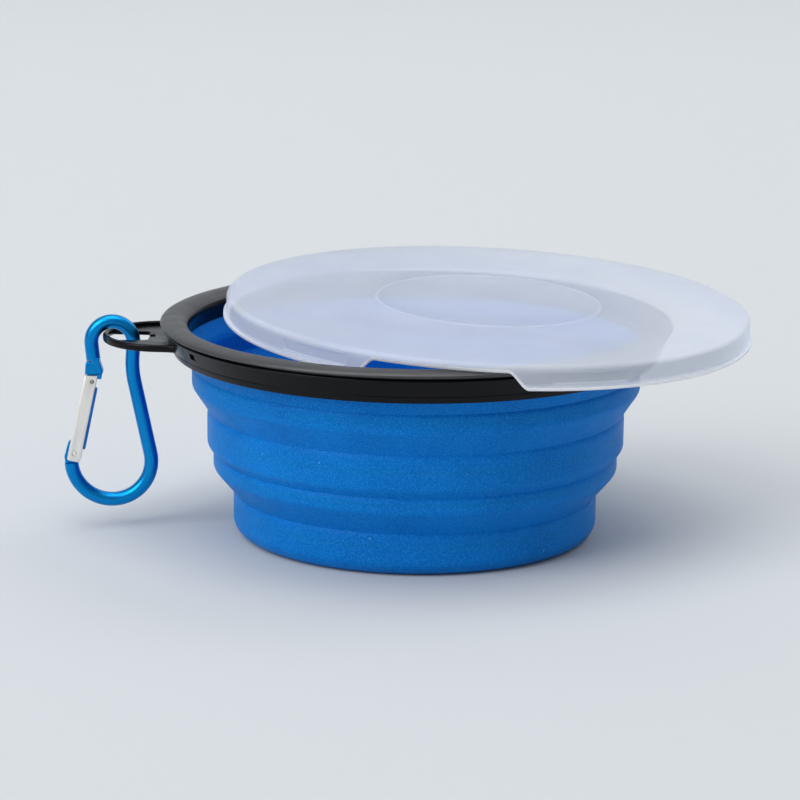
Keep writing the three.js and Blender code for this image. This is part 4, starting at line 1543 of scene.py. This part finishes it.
    def spring_mesh(self) -> Mesh:
        """Leaf spring that lines the open side of the gate.

        Returns:
            The mesh in metres.
        """
        half, back = self.gate_half_width, self.spring_back
        edge, crest = (half + lift for lift in self.spring_lift)
        foot, tip = self.spring_reach
        along, down = self.spring_bevel
        end_gap, side_gap = self.spring_gaps
        start, end = self.web_start, self.web_end - end_gap
        places = ((start, back), (start, edge), (foot, edge), (foot, crest - down), (foot + along, crest),
                  (tip - along, crest), (tip, crest - down), (tip, edge), (end, edge), (end, back))
        width = 2 * (self.rod_radius - self.cheek - side_gap)
        return plate([self.gate_point(*place) for place in places], width, self.thin_edge)

    def build(self) -> list[Object]:
        """Makes the frame with its hinge pin, and the gate with its latch pin and spring.

        Returns:
            The five pieces.
        """
        bar = finish_mesh("carabiner_bar", [self.bar_mesh(), *self.nose_meshes(), self.tongue_mesh()],
                          self.bar_finish.material())
        gate = finish_mesh("gate_channel", [self.gate_mesh()], self.gate_finish.material(), crease=30.0)
        hinge = finish_mesh("hinge_pin", [self.pin_mesh(self.pivot, self.hinge_pin_radius)],
                            self.gate_finish.material())
        latch_place = self.gate_point(*self.latch)
        latch = finish_mesh("latch_pin", [self.pin_mesh(latch_place, self.latch_pin_radius)],
                            self.pin_finish.material())
        spring = finish_mesh("leaf_spring", [self.spring_mesh()], self.spring_finish.material())
        return [
            ride(bar, Body.CARABINER, Slot.CLIP, "carabiner_frame"),
            ride(hinge, Body.CARABINER, Slot.PIN, "gate_hinge_pin"),
            ride(gate, Body.GATE, Slot.GATE, "carabiner_gate"),
            ride(latch, Body.GATE, Slot.PIN, "gate_latch_pin"),
            ride(spring, Body.GATE, Slot.SPRING, "gate_spring"),
        ]


@dataclass
class Studio:
    """Pale paper floor, soft light from the left and above, and the camera of the photograph."""

    floor_half: float = 3000.0
    wall_start: float = 1300.0
    wall_bend: float = 600.0
    wall_top: float = 2200.0
    floor_level: float = -0.1
    sky_colour: str = "#F3F6FA"
    sky_strength: float = 0.40
    aim: tuple[float, float, float] = (-4.03, 0.0, 33.9)
    distance: float = 900.0
    elevation: float = 13.04
    roll: float = 0.6
    lens: float = 158.5
    sensor: float = 36.0
    clip_end: float = 20.0
    # Name, place in metres, side in metres and watts
    lamps: tuple[tuple[str, tuple[float, float, float], float, float], ...] = (
        ("softbox_left", (-2.3, -1.7, 1.9), 2.2, 60.0),
        ("softbox_above", (-0.35, -0.25, 3.0), 2.6, 49.0),
        ("softbox_behind", (1.5, 1.5, 2.2), 1.8, 15.0),
    )
    paper: Finish = StudioPaper()

    def floor(self) -> Object:
        """Lays the paper on the floor and sweeps it up behind the bowl.

        Returns:
            The sheet.
        """
        bend, level = self.wall_bend, self.floor_level
        sweep = arc((self.wall_start, level + bend), bend, bend, -90, 0, 16)
        line = [(-self.floor_half, level), *sweep, (self.wall_start + bend, self.wall_top)]
        points = [(side * self.floor_half * MM, y * MM, z * MM) for y, z in line for side in (-1, 1)]
        faces = [(2 * i, 2 * i + 1, 2 * i + 3, 2 * i + 2) for i in range(len(line) - 1)]
        mesh = bpy.data.meshes.new("paper_floor")
        mesh.from_pydata(points, [], faces)
        mesh.shade_smooth()
        mesh.materials.append(self.paper.material())
        sheet = placed("paper_floor", mesh)
        return sheet

    def sky(self) -> None:
        """Fills the shadows with even light from all round."""
        world = bpy.data.worlds.new("studio_sky")
        world.use_nodes = True
        back = world.node_tree.nodes["Background"]
        back.inputs["Color"].default_value = linear(self.sky_colour)
        back.inputs["Strength"].default_value = self.sky_strength
        bpy.context.scene.world = world

    def lamp(self, name: str, place: tuple[float, float, float], size: float, watts: float) -> None:
        """Hangs a square softbox that faces the bowl.

        Args:
            name: Name of the lamp.
            place: Where it hangs, in metres.
            size: Side of the square in metres.
            watts: Its power.
        """
        light = bpy.data.lights.new(name, "AREA")
        light.size = size
        light.energy = watts
        holder = placed(name, light)
        holder.location = place
        towards = Vector(self.aim) * MM - Vector(place)
        holder.rotation_euler = towards.to_track_quat("-Z", "Y").to_euler()

    def camera(self) -> None:
        """Sets the camera where the photograph was taken from."""
        tilt, roll = math.radians(self.elevation), math.radians(self.roll)
        ahead = Vector((0, math.cos(tilt), -math.sin(tilt)))
        level, up = Vector((1, 0, 0)), Vector((0, math.sin(tilt), math.cos(tilt)))
        right = level * math.cos(roll) + up * math.sin(roll)
        over = up * math.cos(roll) - level * math.sin(roll)
        data = bpy.data.cameras.new("camera")
        data.lens = self.lens
        data.sensor_width = self.sensor
        data.clip_end = self.clip_end
        holder = placed("camera", data)
        place = Matrix((right, over, -ahead)).transposed().to_4x4()
        place.translation = (Vector(self.aim) - ahead * self.distance) * MM
        holder.matrix_world = place
        bpy.context.scene.camera = holder

    def build(self) -> None:
        """Sets up the floor, the light and the camera."""
        bpy.context.scene.view_settings.view_transform = "Standard"
        self.floor()
        self.sky()
        for lamp in self.lamps:
            self.lamp(*lamp)
        self.camera()


def main() -> None:
    """Builds the studio and every sub-assembly."""
    logging.basicConfig(level=logging.INFO, format="%(name)s: %(message)s")
    Studio().build()
    for part in (SiliconeWall(), Rim(), Lid(), Carabiner()):
        for piece in part.build():
            log.info("%s: %s, %d faces", type(part).__name__, piece.name, len(piece.data.polygons))


if __name__ == "__main__":
    main()
